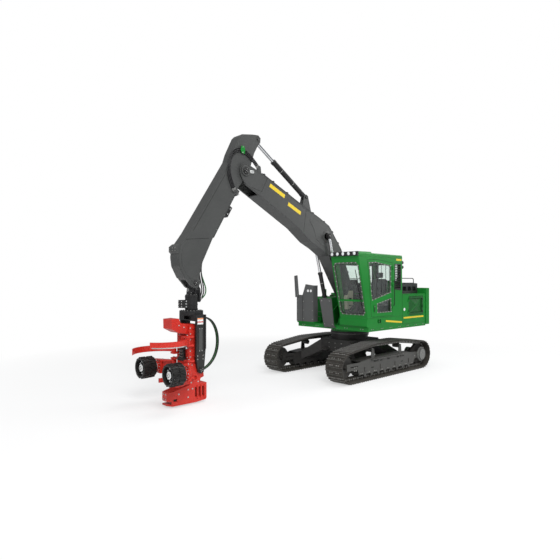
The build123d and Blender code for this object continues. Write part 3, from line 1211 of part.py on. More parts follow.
def make_hanger():
    """Tilt hanger: turning flange, cross box and two legs down to the tilt pins."""
    x = ARM_TIP[0]
    under = HANGER_TOP - 60
    shape = post((x, 0), under, ROTATOR_BOTTOM - TURN_GAP, FLANGE_R)
    back = block((x - 180, x + 110), (-LEG_OUTER, LEG_OUTER), (1960, under))
    window = block((x + 20, x + 111), (-150, 150), (1990, under - 40))
    shape = shape + back - window
    px, pz = TILT_PIN
    rear, face = x - 170, x + 95
    leg = [
        (rear, under), (rear, 1300), (px - 95, pz + 120), (px - 75, pz - 50), (px, pz - 90), (px + 75, pz - 50),
        (px + 105, pz + 60), (face, pz + 250), (face, under),
    ]
    plate = side(leg, LEG_INNER, LEG_OUTER)
    rib = [(rear, under), (rear, 1300), (rear + 40, 1260), (rear + 40, under)]
    plate = plate + side(rib, LEG_OUTER - 1, LEG_OUTER + 18)
    plate = plate + cross_bar(TILT_PIN, LEG_OUTER - 1, LEG_OUTER + 22, TILT_PIN_R + 20)
    plate = plate + cross_bar(TILT_PIN, FRAME_HALF - 60, LEG_OUTER + 20, TILT_PIN_R)
    shape = shape + plate + mirrored(plate)
    top_x, top_z = TILT_TOP
    for y in HEAD_HOSE_Y:
        shape = shape + ferrule(HEAD_HOSE[0], HEAD_HOSE[1], y, FERRULE_R)
    ears = [
        (x - 170, 1970), (x - 170, 2090), (top_x - 60, top_z + 60), (top_x - 60, top_z - 55), (top_x + 50, top_z - 60),
        (x - 150, 1965),
    ]
    return shape + ear_pair(TILT_TOP, ears, EYE_HALF, EYE_GAP, EAR)


def make_head_frame():
    """Red frame: spine box, side cheeks, top knife arm, stem guides and the ears for the tilt rod."""
    side_y = FRAME_HALF - 60
    back = block((SPINE_REAR, SPINE_FRONT), (-side_y, side_y), (SPINE_LOW, HEAD_TOP))
    room = block((SPINE_REAR + 25, SPINE_FRONT - 25), (-side_y + 25, side_y - 25), (SPINE_LOW - 10, HEAD_TOP - 30))
    shape = back - room
    px, pz = TILT_PIN
    cheek = [
        (px - 90, pz - 40), (px - 60, pz + 90), (px + 60, pz + 130), (SPINE_FRONT, 1000), (SPINE_FRONT, SPINE_LOW),
        (px - 10, SPINE_LOW),
    ]
    plate = side(cheek, FRAME_HALF - 80, FRAME_HALF - 10) + cross_bar(GUIDE_RING, FRAME_HALF - 80, FRAME_HALF, 95)
    plate = plate - cross_bar(TILT_PIN, FRAME_HALF - 81, FRAME_HALF + 1, TILT_PIN_R + PIN_FIT)
    plate = plate - cross_bar(GUIDE_RING, FRAME_HALF - 30, FRAME_HALF + 1, 48)
    flange = [
        (SPINE_FRONT - 70, 1010), (SPINE_FRONT + 15, 1060), (SPINE_FRONT + 15, 1640), (SPINE_FRONT, HEAD_TOP),
        (SPINE_FRONT - 70, HEAD_TOP),
    ]
    plate = plate + side(flange, side_y - 1, side_y + 28)
    guide = [
        (SPINE_FRONT - 30, 60), (SPINE_FRONT + 60, 60), (6560, 210), (6700, 320), (6850, 365), (6840, 400),
        (6680, 375), (6500, 290), (SPINE_FRONT - 30, 270),
    ]
    plate = plate + plan(guide, SPINE_LOW + 5, SPINE_LOW + GUIDE_HEIGHT)
    shape = shape + plate + mirrored(plate)
    for y in HEAD_HOSE_Y:
        shape = shape + ferrule(HEAD_HOSE[-1], HEAD_HOSE[-2], y, FERRULE_R)
    low, high = EYE_HALF + EYE_GAP, EYE_HALF + EYE_GAP + EAR
    ex, ez = TILT_EYE
    lug = [(SPINE_REAR + 5, ez + 160), (ex - 50, ez + 60), (ex - 60, ez - 50), (SPINE_REAR + 5, ez - 120)]
    shape = shape + side(lug, low, high) + side(lug, -high, -low)
    shape = shape + cross_bar(TILT_EYE, low, high + 10, TILT_EAR_PIN)
    shape = shape + cross_bar(TILT_EYE, -high - 10, -low, TILT_EAR_PIN)
    arm = [
        (SPINE_REAR + 30, HEAD_TOP - 80), (SPINE_FRONT, 1660), (6640, 1700), (6830, 1800), (6835, 2025),
        (6640, 2035), (6600, 1930), (6430, 1890), (SPINE_REAR + 30, HEAD_TOP + 25),
    ]
    shape = shape + side(arm, -TOP_ARM_HALF, TOP_ARM_HALF)
    hollow = [(6450, 1740), (6640, 1770), (6640, 1700), (6450, 1640)]
    return shape - side(hollow, -TOP_ARM_HALF + 30, TOP_ARM_HALF - 30)


def make_head_pivots():
    """Vertical pivot posts for knives and feed arms, on brackets from the spine."""
    shape = None
    levels = ((KNIFE_PIVOT, KNIFE_Z_LEFT, KNIFE_HEIGHT, 1), (KNIFE_PIVOT, KNIFE_Z_RIGHT, KNIFE_HEIGHT, -1),
              (FEED_PIVOT, FEED_Z - 170, 340, 1), (FEED_PIVOT, FEED_Z - 170, 340, -1))
    for (x, y), low, height, turn in levels:
        y *= turn
        for z0 in (low - 45, low + height + 5):
            ys = sorted((turn * (FRAME_HALF - 90), y + turn * 55))
            ear = block((SPINE_FRONT - 60, x + 60), ys, (z0, z0 + 40))
            shape = ear if shape is None else shape + ear
        shape = shape + post((x, y), low - 45, low + height + 45, 34)
    return shape


def arc_blade(start, tip, bulge, thick, low, high):
    """Curved blade between two plan points, bowed outwards."""
    sx, sy = start
    tx, ty = tip
    middle = ((sx + tx) / 2, (sy + ty) / 2 + bulge)
    outer = ThreePointArc(start, middle, tip)
    inner_tip = (tx - 5, ty - thick * 0.4)
    inner = ThreePointArc(inner_tip, (middle[0], middle[1] - thick), (sx + 15, sy - thick))
    face = make_face([outer, Line(tip, inner_tip), inner, Line((sx + 15, sy - thick), start)])
    return extrude(Pos(0, 0, low) * face, amount=high - low)


def make_knife(low):
    """Delimbing knife: curved blade on a hub, thicker at its root, bevelled along the cutting edge."""
    high = low + KNIFE_HEIGHT
    blade = arc_blade(KNIFE_PIVOT, KNIFE_TIP, KNIFE_BULGE, KNIFE_THICK, low + 6, high - 6)
    x, y = KNIFE_PIVOT
    root = [(x - 30, y + 40), (x + 60, y - 30), (x + 330, y + 215), (x + 280, y + 300), (x + 120, y + 200)]
    blade = blade + plan(root, low + 30, high - 30)
    blade = blade + post(KNIFE_PIVOT, low, high, 62)
    return blade - post(KNIFE_PIVOT, low, high, KNIFE_PIN_R + PIN_FIT)


def make_feed_arm():
    """Feed arm: two plates from the pivot to a back plate that carries the roller's motor."""
    low, high = FEED_Z - 165, FEED_Z + 165
    x, y = FEED_PIVOT
    motor_x = ROLL_X[0] - 130
    outline = [
        (x - 50, y + 20), (x + 55, y - 40), (motor_x - 40, ROLL_Y - 190), (motor_x + 20, ROLL_Y - 190),
        (motor_x + 20, ROLL_Y + 150), (motor_x - 60, ROLL_Y + 150), (x + 20, y + 70),
    ]
    arm = plan(outline, low + 6, low + 6 + ARM_PLATE) + plan(outline, high - 6 - ARM_PLATE, high - 6)
    back = [
        (ROLL_Y - 190, low + 6), (ROLL_Y + 110, low + 6), (ROLL_Y + 150, FEED_Z - 60), (ROLL_Y + 150, FEED_Z + 60),
        (ROLL_Y + 110, high - 6), (ROLL_Y - 190, high - 6),
    ]
    arm = arm + front(back, motor_x - 20, motor_x + 20)
    web = [(x + 10, y + 30), (x + 40, y), (motor_x, ROLL_Y - 60), (motor_x - 40, ROLL_Y - 30)]
    arm = arm + plan(web, low + 6, high - 6)
    arm = arm + post(FEED_PIVOT, low, high, 66) - post(FEED_PIVOT, low, high, FEED_PIN_R + PIN_FIT)
    motor = bar((motor_x, ROLL_Y, FEED_Z), (ROLL_X[0] - SEAT, ROLL_Y, FEED_Z), 120)
    cap = bar((motor_x - 90, ROLL_Y, FEED_Z), (motor_x, ROLL_Y, FEED_Z), 78)
    return arm + motor + cap


def make_feed_roller():
    """Feed roller: drum with cleats in two rows set half a step apart, a dished face and its hub."""
    near, far = ROLL_X
    middle = (near + far) / 2
    rim = ROLL_R - CLEAT
    drum = bar((near, ROLL_Y, FEED_Z), (far, ROLL_Y, FEED_Z), rim)
    step = 2 * pi / CLEATS
    for index in range(CLEATS):
        for low, high, turn in ((near + 12, middle - 6, 0.0), (middle + 6, far - 12, 0.5)):
            angle = (index + turn) * step
            across, up = cos(angle), sin(angle)
            spots = []
            for out, side_way in ((rim - 8, -28), (ROLL_R, -13), (ROLL_R, 13), (rim - 8, 28)):
                spots.append((ROLL_Y + out * across - side_way * up, FEED_Z + out * up + side_way * across))
            drum = drum + front(spots, low, high)
    drum = drum - bar((far - DISH, ROLL_Y, FEED_Z), (far, ROLL_Y, FEED_Z), rim - 40)
    return drum + bar((far - DISH - 1, ROLL_Y, FEED_Z), (far - DISH + 50, ROLL_Y, FEED_Z), 95)


def make_saw_box():
    """Saw box under the spine: slot for the bar, gusset pockets in its left side, bevelled nose."""
    (x0, x1), (y0, y1), (z0, z1) = BOX_X, BOX_Y, BOX_Z
    outline = [
        (x0 + 25, z0 + 25), (x0 + 300, z0), (x1, z0), (x1, z1 - 125), (x1 - 60, z1 - 105), (SPINE_FRONT + 30, z1),
        (x0, z1), (x0, z0 + 60),
    ]
    nose = [(x0, y0), (x1, y0), (x1, y1 - 150), (x1 - 70, y1), (x0, y1)]
    saw = side(outline, y0, y1) & plan(nose, z0, z1)
    low, high = SAW_Z - SAW_SLOT / 2, SAW_Z + SAW_SLOT / 2
    saw = saw - block((x0 + 40, x1 + 1), (y0 - 1, y1 - 30), (low, high))
    for x in GUSSETS:
        saw = saw - block((x, x + 48), (y1 - 45, y1 + 1), (z0 + 125, z1 - 75))
        saw = saw + block((x - 26, x), (y1 - 1, y1 + 26), (z0 + 90, z1 - 40))
    saw = saw - block((x1 - 190, x1 - 90), (y1 - 22, y1 + 1), (high + 2, high + 62))
    lip = block((SPINE_REAR, SPINE_FRONT), (y0, y1 - 5), (z1 - 5, SPINE_LOW))
    return saw + lip + post(SAW_PIVOT, low, high, SAW_PIN_R)


def make_head_group():
    keep("link", make_link())
    keep("rotator", make_rotator())
    keep("hanger", make_hanger())
    top = barrel(TILT_TOP, TILT_EYE, TILT_BARREL, TILT_BARREL_R, TILT_ROD_R, 62, 0)
    keep("tilt_barrel", top)
    keep("tilt_rod", rod(TILT_TOP, TILT_EYE, TILT_ROD, TILT_ROD_R, 58, 0))
    keep("head_frame", make_head_frame(), make_head_pivots())
    keep_apart("head_hoses", [hose(HEAD_HOSE, y, HOSE_R) for y in HEAD_HOSE_Y])
    keep("saw_box", make_saw_box())
    x, y = SAW_PIVOT
    blade = plan([(x + 60, y - 45), (x + 60, y + 45), (x - SAW_LENGTH + 40, y + 45), (x - SAW_LENGTH, y), (x - SAW_LENGTH + 40, y - 45)],
                 SAW_Z - 8, SAW_Z + 8) - post(SAW_PIVOT, 0, 400, SAW_PIN_R + PIN_FIT)
    keep("saw_bar", blade)
    keep("knife_left", make_knife(KNIFE_Z_LEFT))
    keep("knife_right", mirrored(make_knife(KNIFE_Z_RIGHT)))
    for name, maker in (("feed_arm", make_feed_arm), ("feed_roller", make_feed_roller)):
        shape = maker()
        keep(f"{name}_left", shape)
        keep(f"{name}_right", mirrored(shape))


def write_nodes():
    os.makedirs("parts", exist_ok=True)
    for name, shape in NODES.items():
        export_step(Pos(-CENTRE_X, 0, 0) * shape, f"parts/{name}.step")


make_undercarriage()
keep("deck", make_deck())
keep("boom_mount", make_boom_mount())
make_bodywork()
make_front()
make_cab()
make_boom_group()
make_arm_group()
make_head_group()
write_nodes()
print("nodes", len(NODES), "shoes", SHOE_COUNT, "pitch", round(PITCH, 2), "shift", CENTRE_X)
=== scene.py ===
"""Looks of a tracked forestry harvester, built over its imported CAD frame."""
import math

import bmesh
import bpy
import numpy as np
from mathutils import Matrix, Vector


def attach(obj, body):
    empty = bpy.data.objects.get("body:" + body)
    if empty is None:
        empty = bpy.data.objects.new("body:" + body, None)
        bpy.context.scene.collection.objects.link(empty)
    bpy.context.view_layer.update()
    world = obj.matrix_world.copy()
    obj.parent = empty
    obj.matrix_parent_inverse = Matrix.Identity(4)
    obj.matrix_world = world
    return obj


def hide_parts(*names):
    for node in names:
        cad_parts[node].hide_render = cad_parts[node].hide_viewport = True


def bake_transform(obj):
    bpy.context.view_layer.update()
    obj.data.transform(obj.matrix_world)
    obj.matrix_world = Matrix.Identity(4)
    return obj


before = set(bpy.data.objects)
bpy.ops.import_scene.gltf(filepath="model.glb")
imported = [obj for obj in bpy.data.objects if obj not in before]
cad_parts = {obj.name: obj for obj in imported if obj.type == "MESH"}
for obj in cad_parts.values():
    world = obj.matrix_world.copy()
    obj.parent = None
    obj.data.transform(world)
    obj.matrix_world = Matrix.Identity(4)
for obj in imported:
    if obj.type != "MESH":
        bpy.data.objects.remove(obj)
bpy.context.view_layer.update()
scene = bpy.context.scene
scene.view_settings.view_transform = "Standard"

# ------------------------------------------------------------------ the yard
# A wide pale floor under soft studio light, with the camera at the height of the cab's floor.
# Nothing here belongs to the machine.
def net(rows, cols, close_u=False, close_v=False, copies=1):
    """Quads that join each point of a grid to its next row and column, for several copies of the grid."""
    index = np.arange(rows * cols).reshape(rows, cols)
    here, down = (index, np.roll(index, -1, 0)) if close_u else (index[:-1], index[1:])
    if close_v:
        quads = np.stack([here, np.roll(here, -1, 1), np.roll(down, -1, 1), down], axis=-1)
    else:
        quads = np.stack([here[:, :-1], here[:, 1:], down[:, 1:], down[:, :-1]], axis=-1)
    return (quads.reshape(-1, 4) + np.arange(copies)[:, None, None] * rows * cols).reshape(-1, 4).tolist()


def put(name, data):
    """Object in the scene that holds a mesh, a lamp or the camera."""
    made = bpy.data.objects.new(name, data)
    scene.collection.objects.link(made)
    return made


def emptied(owner):
    """Cleared node tree of a material or a world."""
    owner.use_nodes = True
    owner.node_tree.nodes.clear()
    return owner.node_tree


def add(tree, kind, inputs=(), **settings):
    """Node of one kind. Its inputs are values, sockets or nodes, whose first output is meant."""
    made = tree.nodes.new("ShaderNode" + kind)
    for label, value in settings.items():
        setattr(made, label, value)
    for socket, value in dict(inputs).items():
        value = value.outputs[0] if isinstance(value, bpy.types.Node) else value
        if isinstance(value, bpy.types.NodeSocket):
            tree.links.new(value, made.inputs[socket])
        else:
            made.inputs[socket].default_value = value
    return made


def shone(name, data, place, ahead):
    """Lamp or camera at a place, facing along a direction."""
    holder = put(name, data)
    holder.location = place
    holder.rotation_euler = ahead.to_track_quat("-Z", "Y").to_euler()
    return holder


span = np.linspace(-40.0, 40.0, 5)
ys, xs = np.meshgrid(span, span, indexing="ij")
mesh = bpy.data.meshes.new("floor")
mesh.from_pydata(np.stack([xs, ys, 0 * xs], axis=-1).reshape(-1, 3).tolist(), [], net(5, 5))
floor = put("floor", mesh)

# the floor's shaded near part fades into plain white away from the machine
mat = bpy.data.materials.new("pale_floor")
tree = emptied(mat)
away = add(tree, "VectorMath", {0: add(tree, "TexCoord").outputs["Object"]}, operation="LENGTH").outputs["Value"]
near = add(tree, "MapRange", {"Value": away, "From Min": 4.5, "From Max": 12.0, "To Min": 0.55})
share = add(tree, "Math", {0: add(tree, "LightPath").outputs["Is Camera Ray"], 1: near}, operation="MULTIPLY")
sheet = add(tree, "BsdfDiffuse", {"Color": (0.9, 0.9, 0.9, 1)})
glow = add(tree, "Emission", {"Strength": 1.0})
add(tree, "OutputMaterial", {0: add(tree, "MixShader", {0: share, 1: sheet, 2: glow})})
mesh.materials.append(mat)

scene.world = bpy.data.worlds.new("studio")
tree = emptied(scene.world)
rays = add(tree, "LightPath").outputs
seen = add(tree, "Math", {0: rays["Is Camera Ray"], 1: rays["Is Transmission Ray"]}, operation="MAXIMUM")
room = add(tree, "Background", {"Color": (0.93, 0.96, 1.0, 1), "Strength": 0.3})
white = add(tree, "Background", {"Color": (1, 1, 1, 1), "Strength": 1.0})
add(tree, "OutputWorld", {0: add(tree, "MixShader", {0: seen, 1: room, 2: white})})

# lamp: place, aim, size in metres, watts
for name, place, aim, size, power in (
    ("key", (9.0, 13.0, 13.0), (0.5, 0.0, 2.0), 8.0, 2300.0),
    ("fill", (16.0, -6.0, 8.0), (0, 0.0, 2.0), 8.0, 500.0),
    ("top", (-3.0, 1.0, 15.0), (0, 0.0, 1.0), 9.0, 1000.0),
    ("rear", (-13.0, 7.0, 8.0), (-1.0, 0.0, 2.0), 7.0, 600.0),
):
    lamp = bpy.data.lights.new(name, "AREA")
    lamp.size, lamp.energy = size, power
    shone(name, lamp, place, Vector(aim) - Vector(place))

HEADING, TILT = -2.332, 0.005
camera = bpy.data.cameras.new("camera")
camera.lens, camera.sensor_width, camera.clip_end = 30.23, 36.0, 200.0
look = Vector((math.cos(HEADING) * math.cos(TILT), math.sin(HEADING) * math.cos(TILT), math.sin(TILT)))
scene.camera = shone("camera", camera, (10.215, 9.756, 2.882), look)

# ------------------------------------------------------------------ tracks
# Each track is a closed chain of cast links that carries 52 pressed steel shoes, four bolts to a shoe.
# It runs over idler, drive and two carrier rollers. The shoes' twin ridges are worn bright and also carry a painted
# highlight, and pins join the links.
def wear_group():
    """Node group "coat wear": colour in; colour, roughness and height of a used surface out."""
    group = bpy.data.node_groups.new("coat wear", "ShaderNodeTree")
    sockets = group.interface.new_socket
    for label, value in (("Color", (0.1, 0.1, 0.1, 1)), ("Dust Amount", 0.2), ("Chips", 0.1), ("Roughness", 0.4),
                         ("Scale", 1.0)):
        kind = "NodeSocketColor" if label == "Color" else "NodeSocketFloat"
        sockets(name=label, in_out="INPUT", socket_type=kind).default_value = value

    def noise(scale, detail, rough=0.55):
        return add(group, "TexNoise", {"Vector": sized, "Scale": scale, "Detail": detail, "Roughness": rough})

    def calc(kind, a, b, clamp=False):
        return add(group, "Math", {0: a, 1: b}, operation=kind, use_clamp=clamp)

    def blend(share, first, second):
        return add(group, "Mix", {0: share, 6: first, 7: second}, data_type="RGBA").outputs[2]

    given = group.nodes.new("NodeGroupInput").outputs
    place = add(group, "TexCoord").outputs["Object"]
    sized = add(group, "VectorMath", {0: place, "Scale": given["Scale"]}, operation="SCALE")
    broad, patch, fine, spots = noise(1.3, 4), noise(9.0, 5), noise(240.0, 2), noise(34.0, 6, 0.7)
    # slow tone drift, then dust by height and on faces that look up, then chips
    drift = calc("ADD", 1.0, calc("MULTIPLY", calc("SUBTRACT", broad, 0.5), 0.35))
    tone = add(group, "HueSaturation", {"Color": given["Color"], "Value": drift})
    height = add(group, "SeparateXYZ", {0: place}).outputs["Z"]
    low = calc("SUBTRACT", 1.0, calc("MULTIPLY", height, 0.45), True)
    facing = add(group, "SeparateXYZ", {0: add(group, "NewGeometry").outputs["Normal"]}).outputs["Z"]
    gather = calc("ADD", calc("MULTIPLY", low, 0.7), calc("ADD", calc("MULTIPLY", facing, 0.5, True), 0.12))
    dusty = calc("MULTIPLY", calc("MULTIPLY", gather, patch), calc("MULTIPLY", given["Dust Amount"], 2.0), True)
    tone = blend(dusty, tone, (0.3, 0.27, 0.22, 1))
    limit = calc("SUBTRACT", 0.8, calc("MULTIPLY", given["Chips"], 0.25))
    worn = calc("MULTIPLY", calc("SUBTRACT", spots, limit), 14.0, True)
    rough = calc("ADD", given["Roughness"], calc("MULTIPLY", dusty, 0.35))
    rough = calc("ADD", rough, calc("MULTIPLY", calc("SUBTRACT", patch, 0.5), 0.12), True)
    relief = calc("SUBTRACT", calc("MULTIPLY", fine, 0.35), worn)
    results = {"Color": blend(worn, tone, (0.13, 0.12, 0.11, 1)), "Roughness": rough.outputs[0],
               "Height": relief.outputs[0]}
    for label in results:
        sockets(name=label, in_out="OUTPUT", socket_type="NodeSocketColor" if label == "Color" else "NodeSocketFloat")
    sink = group.nodes.new("NodeGroupOutput")
    for label, value in results.items():
        group.links.new(value, sink.inputs[label])
    return group


COAT = wear_group()


def coated(name, color, rough=0.38, dust=0.15, chips=0.06, metallic=0.0, gloss=0.0, scale=1.0, bump=0.0012,
           shine=0.3):
    """Painted or bare surface whose colour, roughness and height come from the wear group."""
    mat = bpy.data.materials.new(name)
    tree = emptied(mat)
    wear = add(tree, "Group", {"Color": (*color, 1), "Dust Amount": dust, "Chips": chips, "Roughness": rough,
                               "Scale": scale}, node_tree=COAT).outputs
    relief = add(tree, "Bump", {"Strength": 0.5, "Distance": bump, "Height": wear["Height"]})
    skin = add(tree, "BsdfPrincipled", {
        "Base Color": wear["Color"], "Roughness": wear["Roughness"], "Normal": relief, "Metallic": metallic,
        "Specular IOR Level": shine, "Coat Weight": gloss, "Coat Roughness": 0.12})
    add(tree, "OutputMaterial", {0: skin})
    return mat


def finish(material, names):
    """Give CAD nodes one finish."""
    for name in names.split():
        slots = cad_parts[name].data.materials
        slots.clear()
        slots.append(material)


SHOE = coated("bare track steel", (0.026, 0.025, 0.024), rough=0.5, dust=0.16, chips=0.2, metallic=0.4, scale=1.4)
# bright strips on the shoe ridges: worn steel, made lighter still as a painted highlight along each ridge
RIDGE_WEAR_AND_HIGHLIGHT = coated("ridge wear and painted highlight", (0.3, 0.3, 0.29), dust=0.12, chips=0.0, metallic=0.8, bump=0.0006)
STEEL = coated("zinc steel", (0.3, 0.3, 0.29), rough=0.35, metallic=0.8, bump=0.0004)
SLEW_AXIS = np.array((2.285, 0.0, 0))   # the machine's own places count from its slew axis, this far behind
SIDES = (("left", 1), ("right", -1))
AHEAD, LEFT, UP = (1, 0, 0), (0, 1, 0), (0, 0, 1)
BASE = "undercarriage"


def unit(vectors):
    """Vectors scaled to length one."""
    return vectors / np.linalg.norm(vectors, axis=-1, keepdims=True)


def piece(name, body, points, faces, material, soft=0.7, bevel=0.0):
    """Mesh from points on the machine, in metres from the slew axis, riding on a body."""
    name = name.replace(" ", "_")
    mesh = bpy.data.meshes.new(name)
    mesh.from_pydata((np.asarray(points, float).reshape(-1, 3) - SLEW_AXIS).tolist(), [], faces)
    work = bmesh.new()
    work.from_mesh(mesh)
    bmesh.ops.remove_doubles(work, verts=work.verts, dist=1e-6)
    bmesh.ops.recalc_face_normals(work, faces=work.faces)
    work.to_mesh(mesh)
    work.free()
    mesh.polygons.foreach_set("use_smooth", np.ones(len(mesh.polygons), bool))
    mesh.set_sharp_from_angle(angle=soft)
    mesh.materials.append(material)
    obj = put(name, mesh)
    if bevel:
        edge = obj.modifiers.new("edge", "BEVEL")
        edge.width, edge.segments, edge.limit_method = bevel, 2, "ANGLE"
    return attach(obj, body) if body else obj


def around(first, second, sides):
    """Directions round a circle: cosine times the first, plus sine times the second direction."""
    turn = np.linspace(0, 2 * math.pi, sides, endpoint=False)[:, None]
    return np.cos(turn) * first[..., None, :] + np.sin(turn) * second[..., None, :]


def turned(name, body, profile, spots, axis, material=STEEL, sides=20, soft=0.7):
    """Turned shapes: profile rows are distance along the axis and radius; one copy stands at each spot."""
    along, radius = np.array(profile, float).T[..., None, None]
    spots = np.asarray(spots, float).reshape(-1, 3)
    axis = unit(np.broadcast_to(np.asarray(axis, float), spots.shape))
    pick = np.where(np.abs(axis[:, 2:]) > 0.9, np.array((1.0, 0.0, 0)), np.array((0, 0.0, 1.0)))
    across = unit(np.cross(axis, pick))
    rim = around(across, np.cross(axis, across), sides)
    points = spots[:, None, None] + along * axis[:, None, None] + radius * rim[:, None]
    return piece(name, body, points, net(len(profile), sides, close_v=True, copies=len(spots)), material, soft)


def hoop(inner, outer, start, end):
    """Profile of a ring between two distances along its axis."""
    return [(start, inner), (start, outer), (end, outer), (end, inner)]


def stud(radius, shoulder, end, face):
    """Profile of a disc whose rim is chamfered from its shoulder to its face."""
    return [(0, radius), (shoulder, radius), (end, face), (end, 0)]


def bolts(name, body, spots, axis, size, material=STEEL):
    """Hexagon heads on washers."""
    washer = hoop(0, size * 1.5, -0.001, size * 0.25)
    turned(name + " washers", body, washer, spots, axis, material, 12)
    head = stud(size, size * 0.95, size * 1.15, size * 0.8)
    turned(name, body, head, spots, axis, material, 6, 0.3)


def lay_out(outline, level, axis="y"):
    """Outline points in space, across X, Y or Z, at a level or where a function of both coordinates puts them."""
    a, b = np.asarray(outline, float).T
    flat = level(a, b) if callable(level) else np.full_like(a, level)
    return np.stack({"x": (flat, a, b), "y": (a, flat, b), "z": (a, b, flat)}[axis], axis=-1)


TRACK_Y = 1.305
FLAT_R = 0.406
END_R = FLAT_R / math.cos(0.203 / 2 / FLAT_R)
END_X, AXLE_Z, CARRIER_Z = 1.957, 0.044 + END_R, 1.07 - 0.044 - 0.17
# wheels that carry the belt: x, z, belt radius
WHEELS = np.array(((-END_X, AXLE_Z, END_R), (END_X, AXLE_Z, END_R), (0.74, CARRIER_Z, 0.17), (-0.74, CARRIER_Z, 0.17)))
away = np.roll(WHEELS, -1, axis=0) - WHEELS
run = np.hypot(away[:, 0], away[:, 1])
slack = -away[:, 2] / run
leave = np.unwrap(np.arctan2(away[:, 1], away[:, 0]) - math.pi / 2 + np.arctan2(slack, np.sqrt(1 - slack**2)))
enter = np.roll(leave, 1)
enter[0] -= 2 * math.pi
lengths = np.stack([WHEELS[:, 2] * (leave - enter), np.sqrt(run**2 - away[:, 2] ** 2)], axis=1).ravel()


def belt(distance, offset):
    """Points on the belt in its plane: an arc round each wheel and the straight run that leaves it, by turns."""
    distance = np.asarray(distance) % lengths.sum()
    ends = np.cumsum(lengths)
    part = np.minimum(np.searchsorted(ends, distance), len(lengths) - 1)
    rest = distance - np.concatenate([[0.0], ends])[part]
    wheel, line = part // 2, part % 2
    angle = np.where(line, leave[wheel], enter[wheel] + rest / WHEELS[wheel, 2])
    glide = np.where(line, rest, 0)
    reach = WHEELS[wheel, 2] + offset
    x = WHEELS[wheel, 0] + reach * np.cos(angle) - glide * np.sin(angle)
    return np.stack([x, WHEELS[wheel, 1] + reach * np.sin(angle) + glide * np.cos(angle)], axis=-1)


SHOES = 52
pitch = lengths.sum() / SHOES
ends = belt(np.arange(SHOES + 1) * pitch, 0)
ends[-1] = ends[0]
shoes, forward = (ends[:-1] + ends[1:]) / 2, unit(ends[1:] - ends[:-1])
outward = np.stack([forward[:, 1], -forward[:, 0]], axis=-1)
# a ridge's cross-section, on the shoe's two ridges: along the track and out from the shoe
step = np.array([-0.054, 0.054])[:, None] + np.array([-0.0045, 0.0, 0.0045])
rise = np.broadcast_to(np.array([0.0355, 0.044, 0.0355]), step.shape)
ridge = shoes[:, None, None] + step[..., None] * forward[:, None, None] + rise[..., None] * outward[:, None, None]
links = np.repeat(np.arange(SHOES) * pitch, 2)
ways = np.tile((-1.0, 1.0), SHOES)
for side, turn in SIDES:
    spots = [lay_out(shoes + 0.0135 * outward, turn * (TRACK_Y + y)) for y in (-0.075, 0.075, -0.15, 0.15)]
    bolts(f"shoe bolts {side}", BASE, np.stack(spots), np.tile(lay_out(outward, 0), (4, 1)), 0.014)
    # the ridge strips on every shoe carry worn steel and a painted highlight
    strip = np.stack([lay_out(ridge.reshape(-1, 2), turn * y).reshape(-1, 3, 3) for y in (1.003, 1.607)], axis=1)
    piece(f"shoe ridges {side}", BASE, strip, net(2, 3, copies=len(strip)), RIDGE_WEAR_AND_HIGHLIGHT, 0.3)
    faces, axis = turn * TRACK_Y + ways * 0.09, ways[:, None] * LEFT
    pin = [(0, 0.034), (0.014, 0.034), (0.016, 0.03), (0.016, 0.018), (0.022, 0.016), (0.022, 0)]
    turned(f"chain pins {side}", BASE, pin, lay_out(belt(links, -0.05), faces), axis, sides=14)
    turned(f"link bolts {side}", BASE, [(0, 0.026), (0.008, 0.026), (0.008, 0)],
           lay_out(belt(links + pitch / 2, -0.055), faces), axis, sides=6)
finish(SHOE, "track_left track_right")

# ------------------------------------------------------------------ track frames
# Welded box frames hold the rollers, the idler's yoke and the drive. Both are painted black; the left one is coloured
# less dark as painted light, for the light falling on the near side.
# Roller bolts, ribs, slots, the toothed step and the drive cover's bolts, plugs and rim show on their outer walls.
def end_caps(count):
    """Closing quads at both ends of each copy of a four-sided shape of two rows."""
    return (np.array([(3, 2, 1, 0), (4, 5, 6, 7)]) + 8 * np.arange(count)[:, None, None]).reshape(-1, 4).tolist()


def boxes(name, body, rows, material, bevel=0.003):
    """Boxes with broken edges, from rows of x, y and z ranges."""
    rows = np.asarray(rows, float).reshape(-1, 3, 2)
    corner = np.array([(0, 0), (1, 0), (1, 1), (0, 1)])
    points = np.empty((len(rows), 2, 4, 3))
    points[..., 0] = rows[:, 0, :][:, corner[:, 0]][:, None]
    points[..., 1] = rows[:, 1, :][:, corner[:, 1]][:, None]
    points[..., 2] = rows[:, 2, :][:, :, None]
    return piece(name, body, points, net(2, 4, close_v=True, copies=len(rows)) + end_caps(len(rows)), material, 0.5,
                 bevel)


def grid(xs, ys, zs):
    """Every point with one X, one Y and one Z of those given."""
    return np.stack(np.meshgrid(xs, ys, zs, indexing="ij"), axis=-1).reshape(-1, 3)


def circle_spots(center, radius, count, axis, phase=0.0):
    """Points round a circle whose axis is x, y or z."""
    turn = np.linspace(0, 2 * math.pi, count, endpoint=False) + phase
    return np.asarray(center) + lay_out(radius * np.stack([np.cos(turn), np.sin(turn)], axis=-1), 0, axis)
